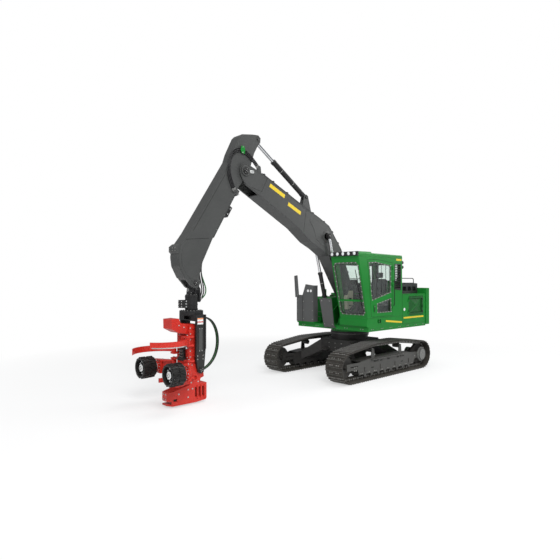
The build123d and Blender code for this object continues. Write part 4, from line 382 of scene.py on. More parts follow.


# the left frame's coat is lighter than the right frame's black only as painted light on the lit near side
LIT_FRAME_COAT = coated("frame coat", (0.044, 0.045, 0.044), rough=0.42, dust=0.1, shine=0.35)
BLACK = coated("black coat", (0.014, 0.014, 0.015), rough=0.42, dust=0.07, chips=0.04)
IRON = coated("cast iron", (0.04, 0.04, 0.041), rough=0.55, dust=0.14, metallic=0.3, bump=0.003)
COVER = coated("drive cover coat", (0.17, 0.175, 0.17), rough=0.4, dust=0.1)
GAP = coated("shadow gap", (0.006, 0.007, 0.006), rough=0.7, dust=0.03, chips=0.0)
finish(LIT_FRAME_COAT, "track_frame_left")
finish(BLACK, "track_frame_right car_body slew_ring")
finish(IRON, "rollers_left rollers_right sprocket_left sprocket_right")
finish(COVER, "final_drive_left final_drive_right")
WALL, DRIVE_FACE = 1.495, 1.56
for side, turn in SIDES:
    out, drive = (0, turn, 0), (-END_X, turn * DRIVE_FACE, AXLE_Z)
    spots = [(0.34 * (i - 4) + dx, turn * WALL, 0.235) for i in range(9) for dx in (-0.035, 0.035)]
    bolts(f"roller bolts {side}", BASE, spots, out, 0.012)
    bolts(f"drive bolts {side}", BASE, circle_spots((-END_X, turn * 1.515, AXLE_Z), 0.218, 18, "y"), out, 0.01)
    turned(f"drive plugs {side}", BASE, [(-0.002, 0.026), (0.008, 0.026), (0.01, 0.022), (0.01, 0)],
           [*circle_spots(drive, 0.11, 3, "y", 0.5), drive], out, sides=8)
    turned(f"drive rim {side}", BASE, [(-0.002, 0.2), (0.006, 0.2), (0.006, 0.185), (-0.002, 0.185)], drive, out,
           BLACK, 48)
    yoke = [*grid((1.62, 1.7, -1.55), turn * WALL, 0.445), *grid((1.62, 1.7), turn * WALL, 0.345)]
    bolts(f"yoke bolts {side}", BASE, yoke, out, 0.014)
    ribs = [((x - 0.012, x + 0.012), (turn * 1.494, turn * 1.512), (0.26, 0.4)) for x in (-1.2, -0.4, 0.4, 1.2)]
    boxes(f"frame ribs {side}", BASE, ribs, LIT_FRAME_COAT if turn > 0 else BLACK)
    slots = [((x, x + 0.13), (turn * 1.4935, turn * 1.4955), (z, z + 0.03)) for z, places in
             ((0.5, (0.6, 0.3, -0.1, -0.62, -0.92)), (0.335, (0.75, -0.85))) for x in places]
    boxes(f"frame slots {side}", BASE, slots, GAP, 0)
    teeth = [((x, x + 0.02), (turn * 1.5, turn * 1.538), (0.585, 0.592)) for x in np.arange(-0.85, 0.85, 0.06)]
    boxes(f"step teeth {side}", BASE, teeth, STEEL, 0.001)
    for number, x in enumerate((-0.74, 0.74)):
        turned(f"carrier cap {side} {number}", BASE, stud(0.05, 0.02, 0.026, 0.04),
               (x, turn * 1.405, CARRIER_Z), out)

# ------------------------------------------------------------------ car body and turntable
# The car body's end covers are bolted plates. The slew ring is bolted to it through its outer race,
# and the turntable above has a bolted lip with pale bolt heads facing out.
PALE = coated("pale steel", (0.55, 0.56, 0.55), rough=0.35, dust=0.05, metallic=0.5, bump=0.0004)
turned("turntable lip", "upper", hoop(0.6, 0.66, 0, 0.035), (0, 0, 1.355), UP, BLACK, 72)
rim = circle_spots((0, 0, 0), 0.659, 44, "z")
turned("turntable bolts", "upper", stud(0.017, 0.012, 0.014, 0.013), rim + (0, 0, 1.3725),
       rim, PALE, 6)
rim = circle_spots((0, 0, 0), 0.626, 90, "z")
turned("ring bolts", BASE, [(0, 0.011), (0.008, 0.011), (0.008, 0)], rim + (0, 0, 1.225), rim, sides=6)
for number, turn in enumerate((1, -1)):
    cover = ((turn * 0.75 - 0.004, turn * 0.75 + 0.004), (-0.28, 0.28), (0.76, 0.95))
    boxes(f"body cover {number}", BASE, cover, BLACK)
    rim = grid(turn * 0.754, (-0.25, 0.0, 0.25), (0.785, 0.925))
    bolts(f"body cover bolts {number}", BASE, rim, (turn, 0, 0), 0.011)

# ------------------------------------------------------------------ bodywork
# Green sheet-steel housings with yellow stripes, bolted skirts and mesh doors. The slatted hood is slate grey, with
# rails and an exhaust stack; grip pads lie underfoot, lamps sit in the cast tail, folded guards stand before the box.
def rounded(outline, radius, steps=5):
    """Outline with each corner replaced by a short quadratic curve that the corner itself steers."""
    spots = np.asarray(outline, float)
    before, after = np.roll(spots, 1, axis=0) - spots, np.roll(spots, -1, axis=0) - spots
    reach = np.minimum(radius, 0.45 * np.minimum(np.linalg.norm(before, axis=1), np.linalg.norm(after, axis=1)))
    start, end = spots + unit(before) * reach[:, None], spots + unit(after) * reach[:, None]
    t = np.linspace(0, 1.0, steps)[None, :, None]
    return ((1 - t) ** 2 * start[:, None] + 2 * t * (1 - t) * spots[:, None] + t**2 * end[:, None]).reshape(-1, 2)


def moved_in(outline, gap):
    """Closed outline moved to its inner side: each corner goes along the sum of its two edges' normals."""
    outline = np.asarray(outline, float)
    ahead = unit(np.roll(outline, -1, axis=0) - outline)
    behind = np.roll(ahead, 1, axis=0)
    x, z = outline.T
    turn = np.sign(np.sum(x * np.roll(z, -1) - np.roll(x, -1) * z))
    normal = turn * np.stack([-(ahead + behind)[:, 1], (ahead + behind)[:, 0]], axis=1)
    return outline + gap * normal / (1 + np.sum(ahead * behind, axis=1, keepdims=True))


def prism(name, body, outline, low, high, material, bevel=0.0, axis="y"):
    """Plate with a given outline between two levels."""
    count = len(outline)
    caps = [list(range(count)), list(range(count, 2 * count))]
    points = np.stack([lay_out(outline, low, axis), lay_out(outline, high, axis)])
    return piece(name, body, points, net(2, count, close_v=True) + caps, material, 0.5, bevel)


def band(name, body, outline, width, low, high, material, corner=0.03, axis="y"):
    """Frame of an even width inside an outline with rounded corners."""
    outer = rounded(outline, corner)
    inner = moved_in(outer, width)
    loops = [lay_out(*loop, axis) for loop in ((outer, low), (outer, high), (inner, high), (inner, low))]
    return piece(name, body, np.stack(loops), net(4, len(outer), close_u=True, close_v=True), material, 0.5)


def tube(name, body, route, radius, material, sides=12):
    """Round tube along a route that lies in one plane."""
    route = np.asarray(route, float)
    ahead = unit(np.gradient(route, axis=0))
    first = unit(np.cross(ahead, np.linalg.svd(route - route.mean(axis=0))[2][2]))
    points = route[:, None] + radius * around(first, np.cross(ahead, first), sides)
    ends = [list(range(sides)), list(range((len(route) - 1) * sides, len(route) * sides))]
    return piece(name, body, points, net(len(route), sides, close_v=True) + ends, material)


def rect(x0, x1, z0, z1, inset=0.0):
    """Corners of a rectangle, moved in by an inset."""
    x0, x1, z0, z1 = x0 + inset, x1 - inset, z0 + inset, z1 - inset
    return [(x0, z0), (x1, z0), (x1, z1), (x0, z1)]


GREEN = coated("green coat", (0.01, 0.195, 0.026), rough=0.3, dust=0.025, chips=0.02, gloss=0.04, shine=0.16)
DARK_GREEN = coated("dark green coat", (0.012, 0.075, 0.024), rough=0.45, dust=0.12)
SLATE = coated("slate coat", (0.026, 0.029, 0.028), rough=0.4, dust=0.06, chips=0.03, gloss=0.05)
GREY = coated("grey coat", (0.085, 0.088, 0.088), rough=0.45, dust=0.1)
PLASTIC = coated("moulded plastic", (0.055, 0.056, 0.058), rough=0.55, dust=0.06, bump=0.0006)
YELLOW = coated("yellow film", (0.75, 0.55, 0.03), rough=0.35, dust=0.05, chips=0.02, bump=0.0002)
WHITE = coated("white film", (0.78, 0.79, 0.78), rough=0.35, dust=0.05, chips=0.0, bump=0.0002)
GRIP = coated("grip tread", (0.035, 0.035, 0.036), rough=0.75, dust=0.25, bump=0.004, scale=3.0)
RUST = coated("heated steel", (0.11, 0.065, 0.045), rough=0.6, dust=0.1, metallic=0.4)
RED_LENS = coated("red lens", (0.55, 0.015, 0.012), rough=0.12, dust=0.03, chips=0.0, gloss=1.0, bump=0.0002)

# round holes are painted dark, the shade inside each opening, where the product of two sine waves, one along X and one
# along Z, is high
HOLE_PITCH = 0.016
MESH = coated("perforated sheet", (0.012, 0.115, 0.022), rough=0.45, dust=0.03, chips=0.02, shine=0.15)
tree = MESH.node_tree
base = next(made for made in tree.nodes if made.type == "BSDF_PRINCIPLED").inputs["Base Color"]
where = add(tree, "SeparateXYZ", {0: add(tree, "TexCoord").outputs["Object"]})
waves = [add(tree, "Math", {0: where.outputs[way], 1: 2 * math.pi / HOLE_PITCH}, operation="MULTIPLY") for way in "XZ"]
crests = [add(tree, "Math", {0: wave}, operation="SINE") for wave in waves]
peak = add(tree, "Math", {0: crests[0], 1: crests[1]}, operation="MULTIPLY")
hole = add(tree, "Math", {0: peak, 1: 0.35}, operation="GREATER_THAN")
# the holes' dark colour is painted shade for the inside seen through them
holes_painted_shade = add(tree, "Mix", {0: hole, 6: base.links[0].from_socket, 7: (0.006, 0.03, 0.01, 1)}, data_type="RGBA")
tree.links.new(holes_painted_shade.outputs[2], base)

finish(GREEN, "deck boom_mount left_housing right_housing fuel_tank counterweight front_box")
finish(MESH, "left_door right_door")
finish(SLATE, "hood")
finish(GREY, "guards")
finish(IRON, "engine_block")
finish(PLASTIC, "cooler")
FLANK = 1.45

# stripes, bolted skirts and the thin dark joints between panels
for tail, turn in (("", 1), (" right", -1)):
    front = [(-0.87, 1.57), (0.05, 1.655), (0.05, 1.712), (-0.87, 1.622)]
    for name, stripe in (("rear", rect(-2.22, -0.97, 1.7, 1.752)), ("front", front)):
        prism(f"{name} stripe{tail}", "upper", stripe, turn * (FLANK - 0.0005), turn * (FLANK + 0.0015), YELLOW)
turned("round mark", "upper", [(0, 0.05), (0.0015, 0.049), (0.0015, 0)], (-1.02, FLANK, 2.00), LEFT, WHITE, 32)
pairs = [x + dx for x in np.linspace(-2.2, 0.75, 7) for dx in (-0.045, 0.045)]
skirt = [(x, turn * FLANK, 1.462) for turn in (1, -1) for x in pairs]
bolts("skirt bolts", "upper", skirt, [(0, y, 0) for x, y, z in skirt], 0.012)
front = [(0.95, y + dy, 1.465) for y in (-1.2, -0.6, 0.6, 1.2) for dy in (-0.045, 0.045)]
bolts("front skirt bolts", "upper", front, AHEAD, 0.012)
joints = [(xs, (turn * (FLANK - 0.004), turn * (FLANK + 0.0008)), zs) for turn, xs, zs in (
    (1, (-0.893, -0.888), (1.54, 2.5)), (1, (-2.24, -0.9), (2.47, 2.475)), (1, (-2.345, -0.9), (1.527, 1.533)),
    (-1, (-0.763, -0.757), (1.54, 2.38)), (-1, (-2.24, -0.77), (2.47, 2.475)), (-1, (-0.1, -0.095), (1.54, 2.37)))]
boxes("panel joints", "upper", joints, GAP, 0)

# doors: latches, edge gap, frame round the mesh, rivets and the pressed creases of the sheet
latch = [(0, 0.03), (0.01, 0.03), (0.012, 0.026), (0.012, 0.012), (0.007, 0.01), (0.007, 0)]
for (side, turn), opening, low_latch in zip(SIDES, ((-2.2, -1.28, 1.79, 2.43), (-2.2, -1.18, 1.64, 2.43)), (1.9, 1.8)):
    body, out = f"{side}_door", (0, turn, 0)
    turned(f"{side} latches", body, latch, grid(-2.165, turn * 1.4505, (2.32, low_latch)), out, BLACK)
    band(f"{side} door edge", body, rect(*opening, 0.006), 0.004, turn * 1.4495, turn * 1.4508, GAP, 0.01)
    inner = rect(*opening, 0.065)
    band(f"{side} door frame", body, inner, 0.012, turn * 1.44, turn * 1.4515, DARK_GREEN, 0.01)
    rim = rounded(rect(*opening, 0.03), 0.001, 2)
    spots = np.concatenate([np.linspace(rim[2 * k], rim[(2 * k + 2) % 8], 4)[:3] for k in range(4)])
    turned(f"{side} door rivets", body, [(0, 0.008), (0.003, 0.006), (0.004, 0)], lay_out(spots, turn * FLANK), out,
           DARK_GREEN, 10)
    middle = np.mean(inner, axis=0)
    for number, corner in enumerate(inner):
        line = np.linspace((corner[0], turn * 1.413, corner[1]), (middle[0], turn * 1.4485, middle[1]), 4)
        tube(f"{side} door crease {number}", body, line, 0.007, GREEN, 8)

# hood: slats in the side slots, rails, hinges and bolts, then the pads underfoot, the stack and the tank's cap
HOOD_TOP = 2.85
pitch = (2.34 - 1.0 - 0.12) / 4
slats = [((x - 0.002, x + pitch - 0.068), (turn * 1.125, turn * 1.143), (z, z + 0.006)) for turn in (1, -1)
         for x in -2.34 + 0.06 + 0.035 + pitch * np.arange(4) for z in np.arange(2.615, 2.735, 0.025)]
boxes("hood slats", "upper", slats, BLACK, 0)
for turn in (1, -1):
    feet = [(-2.2, HOOD_TOP), (-1.15, HOOD_TOP)]
    bends = rounded([feet[0], (-2.2, 3.02), (-1.15, 3.02), feet[1]], 0.08, 6)[6:-6]
    tube(f"hood rail {turn}", "upper", lay_out([feet[0], *bends, feet[1]], turn * 1.08), 0.014, BLACK)
    turned(f"rail feet {turn}", "upper", [(0, 0.035), (0.008, 0.035), (0.012, 0.018), (0.02, 0.018)],
           lay_out(feet, turn * 1.08), UP, BLACK)
    hinges = [((x - 0.06, x + 0.06), (turn * 1.149, turn * 1.156), (2.77, 2.81)) for x in (-2.1, -1.3)]
    boxes(f"hood hinges {turn}", "upper", hinges, BLACK)
tops = grid((-2.28, -1.08), (-1.1, -0.4, 0.4, 1.1), HOOD_TOP)
bolts("hood bolts", "upper", tops, UP, 0.011)
boxes("grip pads", "upper", [
    ((-1.95, -1.2), (-0.6, -0.2), (2.849, 2.853)), ((-0.97, -0.92), (0.55, 1.35), (2.5, 2.503)),
    ((-0.7, 0.32), (-1.4, -1.05), (2.38, 2.384)), ((-0.7, 0.32), (-0.8, -0.55), (2.38, 2.384))], GRIP, 0)
treads = [(xs, (-1.42, -0.73), (z, z + 0.004)) for xs, z in (
    ((0.7, 1.0), 1.58), ((0.565, 0.685), 1.7305), ((0.435, 0.555), 1.8805))]
boxes("tread plates", "upper", treads, GRIP, 0)
turned("stack rim", "upper", [(-0.02, 0.0625), (-0.02, 0.067), (0.0005, 0.067), (0.0005, 0.054), (-0.02, 0.054)],
       (-1.9, -0.7, 3.15), UP, RUST, 36)
turned("stack clamp", "upper", hoop(0.0622, 0.069, 0, 0.03), (-1.9, -0.7, 2.99), UP,
       sides=36)
cap = [(-0.002, 0), (-0.002, 0.073), (0.015, 0.073), (0.022, 0.066), (0.022, 0.03), (0.034, 0.026), (0.034, 0)]
turned("tank cap", "upper", cap, (-0.15, -0.9, 2.425), UP, BLACK, 32)

# tail: lamps and plugs on the flats beside the middle one, eye collars and a camera
for turn in (1, -1):
    ahead, out = unit(np.array((0.09, turn * 0.55))), unit(np.array((-0.55, turn * 0.09)))
    place = np.array((-2.93, turn * 0.5)) + 0.2 * ahead
    for label, half, reach, z0, z1, material in (
            ("case", 0.08, 0.012, 1.78, 1.88, BLACK), ("lamp", 0.066, 0.017, 1.795, 1.865, RED_LENS)):
        flat = [place + along * ahead + proud * out for along, proud in rect(-half, half, 0, reach)]
        prism(f"tail {label} {turn}", "upper", flat, z0, z1, material, 0.003, "z")
    spot = place + 0.22 * ahead
    bolts(f"tail bolts {turn}", "upper", [(*spot, 2.35), (*spot, 1.95)], (*out, 0), 0.02)
    for side in (1, -1):
        turned(f"lifting collar {turn} {side}", "upper", [(0, 0.034), (0.004, 0.046), (0.008, 0.046), (0.008, 0.034)],
               (-2.65, turn * 0.72 + side * 0.0225, 2.765), (0, side, 0), sides=28)
boxes("rear camera", "upper", ((-2.862, -2.8), (-0.05, 0.05), (2.665, 2.688)), BLACK)

# guards: bolts along the folds, two blank round marks, and the hoop's collars
spots = grid(1.035, (-0.73, -1.14, -1.22, -1.41), (1.66, 1.95, 2.25))
bolts("guard bolts", "upper", spots, AHEAD, 0.011)
turned("guard marks", "upper", [(0, 0.045), (0.0015, 0.044), (0.0015, 0)],
       grid(1.035, (-0.8, -0.93), 2.6), AHEAD, WHITE, 28)
shield = [(1.07 + 0.192 * (z - 1.505), y, z) for z in (1.56, 2.3) for y in (-0.16, 0.16)]
bolts("shield bolts", "upper", shield, (0.98, 0, -0.19), 0.013)
hoops = grid((0.46, 0.33), -0.75, (2.46, 2.56))
turned("hoop collars", "upper", hoop(0.0162, 0.019, 0, 0.03), hoops, UP)

# ------------------------------------------------------------------ cab
# A green steel cab with tinted panes in rubber seals, each held by pale fixing bolts, on a bolted base.
# Outside it has bars, a wiper, five work lamps, louvre, hatch, latch, grab rail and a blank yellow label.
def along_outline(outline, step):
    """Points about a step apart along each edge of a closed outline."""
    edges = zip(outline, np.roll(outline, -1, axis=0))
    return np.concatenate([np.linspace(a, b, max(2, round(np.linalg.norm(b - a) / step) + 1))[:-1] for a, b in edges])


def on_front(gap):
    """X at a gap before the cab's leaning front face, as a function of Y and Z."""
    return lambda y, z: 0.985 + 0.445 * (z - 1.8) / 1.86 + gap


GLASS = bpy.data.materials.new("tinted glass")
tree = emptied(GLASS)
pane = {"Base Color": (0.82, 0.9, 0.86, 1), "Roughness": 0.02, "Transmission Weight": 1.0, "IOR": 1.45}
add(tree, "OutputMaterial", {0: add(tree, "BsdfPrincipled", pane)})
SEAL = coated("pane seal", (0.085, 0.105, 0.08), rough=0.6, dust=0.05, chips=0.0, bump=0.0004)
RUBBER = coated("rubber", (0.008, 0.008, 0.009), rough=0.45, dust=0.03, chips=0.0, bump=0.0008, shine=0.4)
LAMP = coated("lamp lens", (0.8, 0.82, 0.83), rough=0.08, dust=0.02, chips=0.0, gloss=1.0, bump=0.0002)
finish(GREEN, "cab_shell cab_base cab_roof cab_door")
finish(GLASS, "cab_glass door_glass")
finish(BLACK, "visor cab_louvre")
finish(LAMP, "lamps")

FRONT_PANE = [(0.52, 1.89), (1.32, 1.89), (1.39, 1.98), (1.39, 3.38), (1.31, 3.48), (0.53, 3.48), (0.45, 3.38),
              (0.45, 1.98)]
RIGHT_PANE = [(-0.7, 2.4), (0.85, 2.25), (1.08, 3.45), (-0.7, 3.45)]
UPPER_PANE = [(-0.235, 2.56), (0.77, 2.33), (0.83, 2.62), (0.945, 3.48), (0.6, 3.505), (-0.235, 3.415)]
LOWER_PANE = [(-0.26, 1.95), (0.5, 1.95), (0.52, 2.24), (-0.235, 2.39)]
DOOR = [(-0.315, 1.833), (0.797, 1.833), (1.01, 3.542), (0.57, 3.586), (-0.315, 3.497)]
LOUVRE = [(-0.8, 2.62), (-0.44, 2.66), (-0.44, 3.47), (-0.8, 3.47)]
FACE = FLANK + 0.0035
band("front seal", "upper", FRONT_PANE, 0.034, on_front(-0.04), on_front(0.004), SEAL, 0.05, "x")
band("rear seal", "upper", rect(0.52, 1.32, 2.92, 3.48), 0.025, -0.882, -0.845, RUBBER, axis="x")
band("right seal", "upper", RIGHT_PANE, 0.028, 0.4, 0.44, RUBBER)
band("upper seal", "cab_door", UPPER_PANE, 0.032, 1.41, FACE, SEAL, 0.06)
band("lower seal", "cab_door", LOWER_PANE, 0.028, 1.41, FACE, SEAL, 0.05)
band("door edge", "cab_door", DOOR, 0.006, 1.4485, 1.4512, GAP, 0.02)
band("hatch seal", "upper", rect(0.85, 1.25, 0.56, 1.29), 0.02, 3.64, 3.785, RUBBER, axis="z")
band("louvre edge", "upper", LOUVRE, 0.012, 1.4495, 1.4565, BLACK, 0.015)
fixing = [(-0.001, 0), (-0.001, 0.014), (0.004, 0.014), (0.006, 0.01), (0.006, 0)]
spots = lay_out(along_outline(moved_in(FRONT_PANE, 0.018), 0.15), on_front(0.004), "x")
turned("front pane bolts", "upper", fixing, spots, (0.97, 0, -0.23), PALE, 14)
spots = [along_outline(moved_in(outline, 0.016), 0.16) for outline in (UPPER_PANE, LOWER_PANE)]
turned("door pane bolts", "cab_door", fixing, lay_out(np.concatenate(spots), FACE), LEFT, PALE, 12)
spots = along_outline(moved_in(RIGHT_PANE, -0.022), 0.2)
turned("right pane bolts", "upper", fixing, lay_out(spots, 0.404), (0, -1, 0), PALE, 12)
x, z = on_front(0)(0, 2.335), 2.335
boxes("front cross bar", "upper", ((x - 0.022, x + 0.006), (0.462, 1.378), (z - 0.03, z + 0.03)), GREEN, 0.004)
bars = [((x - 0.009, x + 0.009), (1.4045, 1.4165), (2.56 - 0.23 * (x + 0.235) / 1.005, 3.4 + 0.05 * (x + 0.1)))
        for x in (0, 0.24, 0.48, 0.7)]
boxes("door bars", "cab_door", bars, BLACK, 0.002)

# wiper: arm, blade and pivot on the leaning pane
z = np.linspace(2.05, 2.95, 8)
tube("wiper arm", "upper", lay_out(np.stack([1.335 - 0.1 * (z - 2.05), z], 1), on_front(0.026), "x"), 0.013, BLACK)
z = np.linspace(2.45, 3.25, 8)
tube("wiper blade", "upper", lay_out(np.stack([1.3 - 0.05 * (z - 2.45), z], 1), on_front(0.012), "x"), 0.011, RUBBER, 8)
turned("wiper pivot", "upper", stud(0.04, 0.02, 0.034, 0.03),
       lay_out([(1.337, 2.03)], on_front(0), "x"), (0.97, 0, -0.23), BLACK)

# work lamps: case rim and lens
spots = [(1.509, 0.404 + (k + 0.5) * 1.046 / 5, 3.73) for k in range(5)]
rim = [(-0.008, 0.06), (0.004, 0.06), (0.007, 0.056), (0.004, 0.052), (0, 0.051)]
turned("lamp rims", "upper", rim, spots, AHEAD, BLACK, 32)
turned("lamp lenses", "upper", [(0.0005, 0.052), (0.003, 0.046), (0.005, 0.024), (0.0055, 0)], spots, AHEAD, LAMP, 32)
spots = grid(-1.055, 1.34, (3.38, 3.53))
turned("rear lamp rims", "upper", [(-0.09, 0.0555), (0.006, 0.0565), (0.008, 0.052), (0, 0.047)], spots, (-1, 0, 0),
       BLACK, 32)
turned("rear lamp lenses", "upper", [(0.001, 0.047), (0.004, 0.03), (0.005, 0)], spots, (-1, 0, 0), LAMP, 32)

# door furniture, roof ribs and cap, step slots, label and the joint to the base
boxes("door latch", "cab_door", ((0.648, 0.682), (1.468, 1.476), (2.00, 2.18)), BLACK)
turned("door lock", "cab_door", [(0, 0.016), (0.006, 0.016), (0.006, 0)], (0.665, 1.472, 2.15), LEFT)
rail = [(1.45, 2.15), (1.492, 2.17), (1.497, 2.22), (1.497, 2.86), (1.492, 2.91), (1.45, 2.93)]
tube("grab rail", "upper", lay_out(rail, -0.37, "x"), 0.011, BLACK)
ribs = [((-0.8, 0.74), (y - 0.012, y + 0.012), (3.74, 3.752)) for y in (0.6, 0.8, 1.00, 1.2)]
boxes("roof ribs", "upper", ribs, GREEN, 0.004)
turned("roof cap", "upper", stud(0.05, 0.03, 0.04, 0.04), (-0.55, 0.7, 3.745), UP, BLACK)
boxes("step slots", "upper", [((0.312, 0.418), (1.4395, 1.4512), (z, z + 0.012)) for z in (1.655, 1.705)], GAP, 0)
boxes("cab label", "upper", ((-0.84, -0.54), (1.4495, 1.4515), (3.575, 3.635)), YELLOW, 0)
boxes("base joint", "upper", ((-0.87, 0.95), (1.446, 1.4508), (1.797, 1.802)), GAP, 0)

# ------------------------------------------------------------------ cab's inside
# A cloth seat with moulded consoles at its arms, levers with rubber grips and boots, rows of keys, a screen,
# a beige cover over the front box, pedals, a stay rail and a floor mat.
CLOTH = coated("seat cloth", (0.05, 0.05, 0.055), rough=0.85, dust=0.05, bump=0.002, scale=2.0)
SCREEN = coated("screen", (0.012, 0.016, 0.02), rough=0.1, dust=0.0, chips=0.0, gloss=0.6, bump=0.0001)
BEIGE = coated("beige plastic", (0.52, 0.46, 0.36), rough=0.5, dust=0.05, chips=0.0, bump=0.0004)
finish(CLOTH, "seat")
finish(PLASTIC, "consoles")
boxes("seat cushion", "upper", ((-0.23, 0.26), (0.68, 1.175), (2.3, 2.345)), CLOTH, 0.022)
back = [(-0.212, 2.27), (-0.19, 2.3), (-0.3, 2.92), (-0.335, 2.965)]
prism("seat back", "upper", back, 0.7, 1.155, CLOTH, 0.015)
prism("headrest", "upper", [(-0.4, 3.02), (-0.33, 3.02), (-0.345, 3.2), (-0.42, 3.19)], 0.81, 1.045, CLOTH, 0.02)
grip = [(0, 0.018), (0.03, 0.026), (0.07, 0.024), (0.11, 0.028), (0.135, 0.022), (0.14, 0)]
boot = [(0, 0.05), (0.02, 0.045), (0.03, 0.03), (0.045, 0.028), (0.05, 0.014)]
for turn in (1, -1):
    y = 0.927 + turn * 0.275
    tube(f"lever {turn}", "upper", lay_out([(0.1, 2.48), (0.115, 2.56), (0.145, 2.62)], y), 0.011, BLACK)
    turned(f"lever grip {turn}", "upper", grip, (0.135, y, 2.605), (0.25, 0, 1), RUBBER)
    turned(f"lever boot {turn}", "upper", boot, (0.1, y, 2.5), UP, RUBBER)
    keys = [((x, x + 0.022), (y + dy, y + 0.018 + dy), (2.5, 2.506))
            for x in (-0.12, -0.08, -0.04) for dy in (-0.03, 0)]
    boxes(f"keys {turn}", "upper", keys, PALE, 0.002)
boxes("pedals", "upper", [((0.52, 0.66), (y, y + 0.09), (1.9, 1.915)) for y in (0.78, 1.00)], GRIP, 0.004)
boxes("screen", "upper", ((0.6, 0.63), (0.52, 0.8), (2.78, 2.97)), BLACK, 0.006)
boxes("screen face", "upper", ((0.5965, 0.6005), (0.535, 0.785), (2.795, 2.955)), SCREEN, 0)
cover = [(0.58, 2.04), (0.86, 2.04), (0.9, 2.4), (0.8, 2.62), (0.58, 2.62)]
prism("box cover", "upper", cover, 0.475, 0.6, BEIGE, 0.01)
boxes("box slot", "upper", [((0.66, 0.8), (0.5995, 0.6025), zs) for zs in ((2.3, 2.4), (2.15, 2.17))], GAP, 0)
rail = np.array([(0.47, 1.87), (0.61, 1.87), (1.12, 2.42), (1.06, 2.5)])
prism("cab rail", "upper", rail, 0.8, 0.818, BLACK, 0.002, "x")
foot, head = rail[:2].mean(axis=0), rail[2:].mean(axis=0)
holes = lay_out(foot + np.linspace(0.12, 0.9, 7)[:, None] * (head - foot), 0.8175, "x")
turned("rail holes", "upper", hoop(0, 0.016, 0, 0.001), holes, AHEAD, SEAL, 16)
boxes("floor mat", "upper", ((-0.3, 0.62), (0.5, 1.37), (1.8605, 1.868)), GRIP, 0.002)

# ------------------------------------------------------------------ boom and arm
# Box beams of charcoal-painted plate with weld beads round their sides, doubler plates and shadowed plate joints.
# Every pin has a bolted keeper with a grease nipple; hard pipes are clamped on the boom's back, and hoses on the arm's.
def pin_cap(name, body, spot, wall, radius):
    """Keeper plate over a pin's end, with four bolts and a grease nipple."""
    turn = 1 if wall > 0 else -1
    plate = stud(radius, 0.009, 0.012, radius * 0.93)
    turned(name, body, plate, (spot[0], wall, spot[1]), (0, turn, 0), BLACK, 36)
    face = (spot[0], wall + turn * 0.012, spot[1])
    bolts(name + " bolts", body, circle_spots(face, radius * 0.66, 4, "y", 0.5), (0, turn, 0), radius * 0.12)
    nipple = [(0, 0.009), (0.006, 0.009), (0.007, 0.005), (0.016, 0.005), (0.018, 0)]
    turned(name + " nipple", body, nipple, face, (0, turn, 0), PALE, 10)


def tilted(place, length, height, slope):
    """Rectangle about a point, its long side at a slope."""
    ahead = unit(np.array((1.0, slope)))
    across = np.array((-ahead[1], ahead[0]))
    corner = np.array([(-1, -1), (1, -1), (1, 1), (-1, 1)]) / 2
    return place + corner[:, :1] * length * ahead + corner[:, 1:] * height * across


CHARCOAL = coated("charcoal coat", (0.056, 0.058, 0.057), rough=0.42, dust=0.08, chips=0.05, gloss=0.05)
finish(CHARCOAL, "boom arm")
finish(BLACK, "boom_pipes")
BOOM_SIDE = [(0.205, 2.08), (0.82, 2.96), (1.33, 3.7), (1.75, 3.93), (2.15, 4.1), (2.72, 4.49),
             (4.5, 5.375), (4.64, 5.44), (4.76, 5.56), (4.84, 5.7), (4.85, 5.84), (4.8, 5.96),
             (4.7, 6.01), (4.56, 5.99), (3.92, 5.76), (2.3, 5.045), (1.75, 4.83), (1.28, 4.61),
             (0.71, 3.94), (-0.095, 2.2), (-0.1, 2.11), (-0.05, 2.01), (0.06, 1.97), (0.15, 2.000)]
ARM_SIDE = [(4.11, 6.66), (4.2, 6.56), (4.33, 6.33), (4.44, 6.000), (4.47, 5.76), (4.56, 5.61),
            (4.7, 5.56), (4.85, 5.37), (5.66, 4.000), (5.98, 3.36), (6.06, 3.05), (6.06, 2.85),
            (6.11, 2.76), (6.24, 2.75), (6.33, 2.84), (6.48, 3.000), (6.62, 3.26), (6.65, 3.48),
            (6.6, 3.74), (6.36, 4.06), (5.13, 5.99), (5.05, 6.22), (4.82, 6.68), (4.74, 6.76),
            (4.38, 6.83), (4.18, 6.85), (4.1, 6.79)]
BOOM_DOUBLER = [(0.36, 2.74), (0.76, 3.8), (1.29, 4.43), (1.76, 4.66), (2.12, 4.8), (2.2, 4.72), (2.02, 4.5),
                (1.9, 4.18), (1.7, 4.05), (1.28, 3.84), (0.74, 3.08), (0.46, 2.68)]
ARM_DOUBLER = [(5.92, 3.62), (6.2, 3.92), (6.4, 3.88), (6.53, 3.68), (6.57, 3.46), (6.54, 3.28), (6.42, 3.06),
               (6.28, 2.93), (6.1, 3.1), (6.04, 3.38)]
BOOM_SEAM = [(4.16, 5.26), (4.175, 5.268), (3.99, 5.73), (3.975, 5.723)]
LIFT_BASE, LIFT_EYE, CROWD_BASE, ARM_EYE, TIP = (0.73, 1.82), (1.43, 4.3), (2.18, 5.44), (4.18, 6.75), (6.18, 2.87)
HEAD_PIN, FOOT_PIN = (4.68, 5.8), (0.05, 2.12)
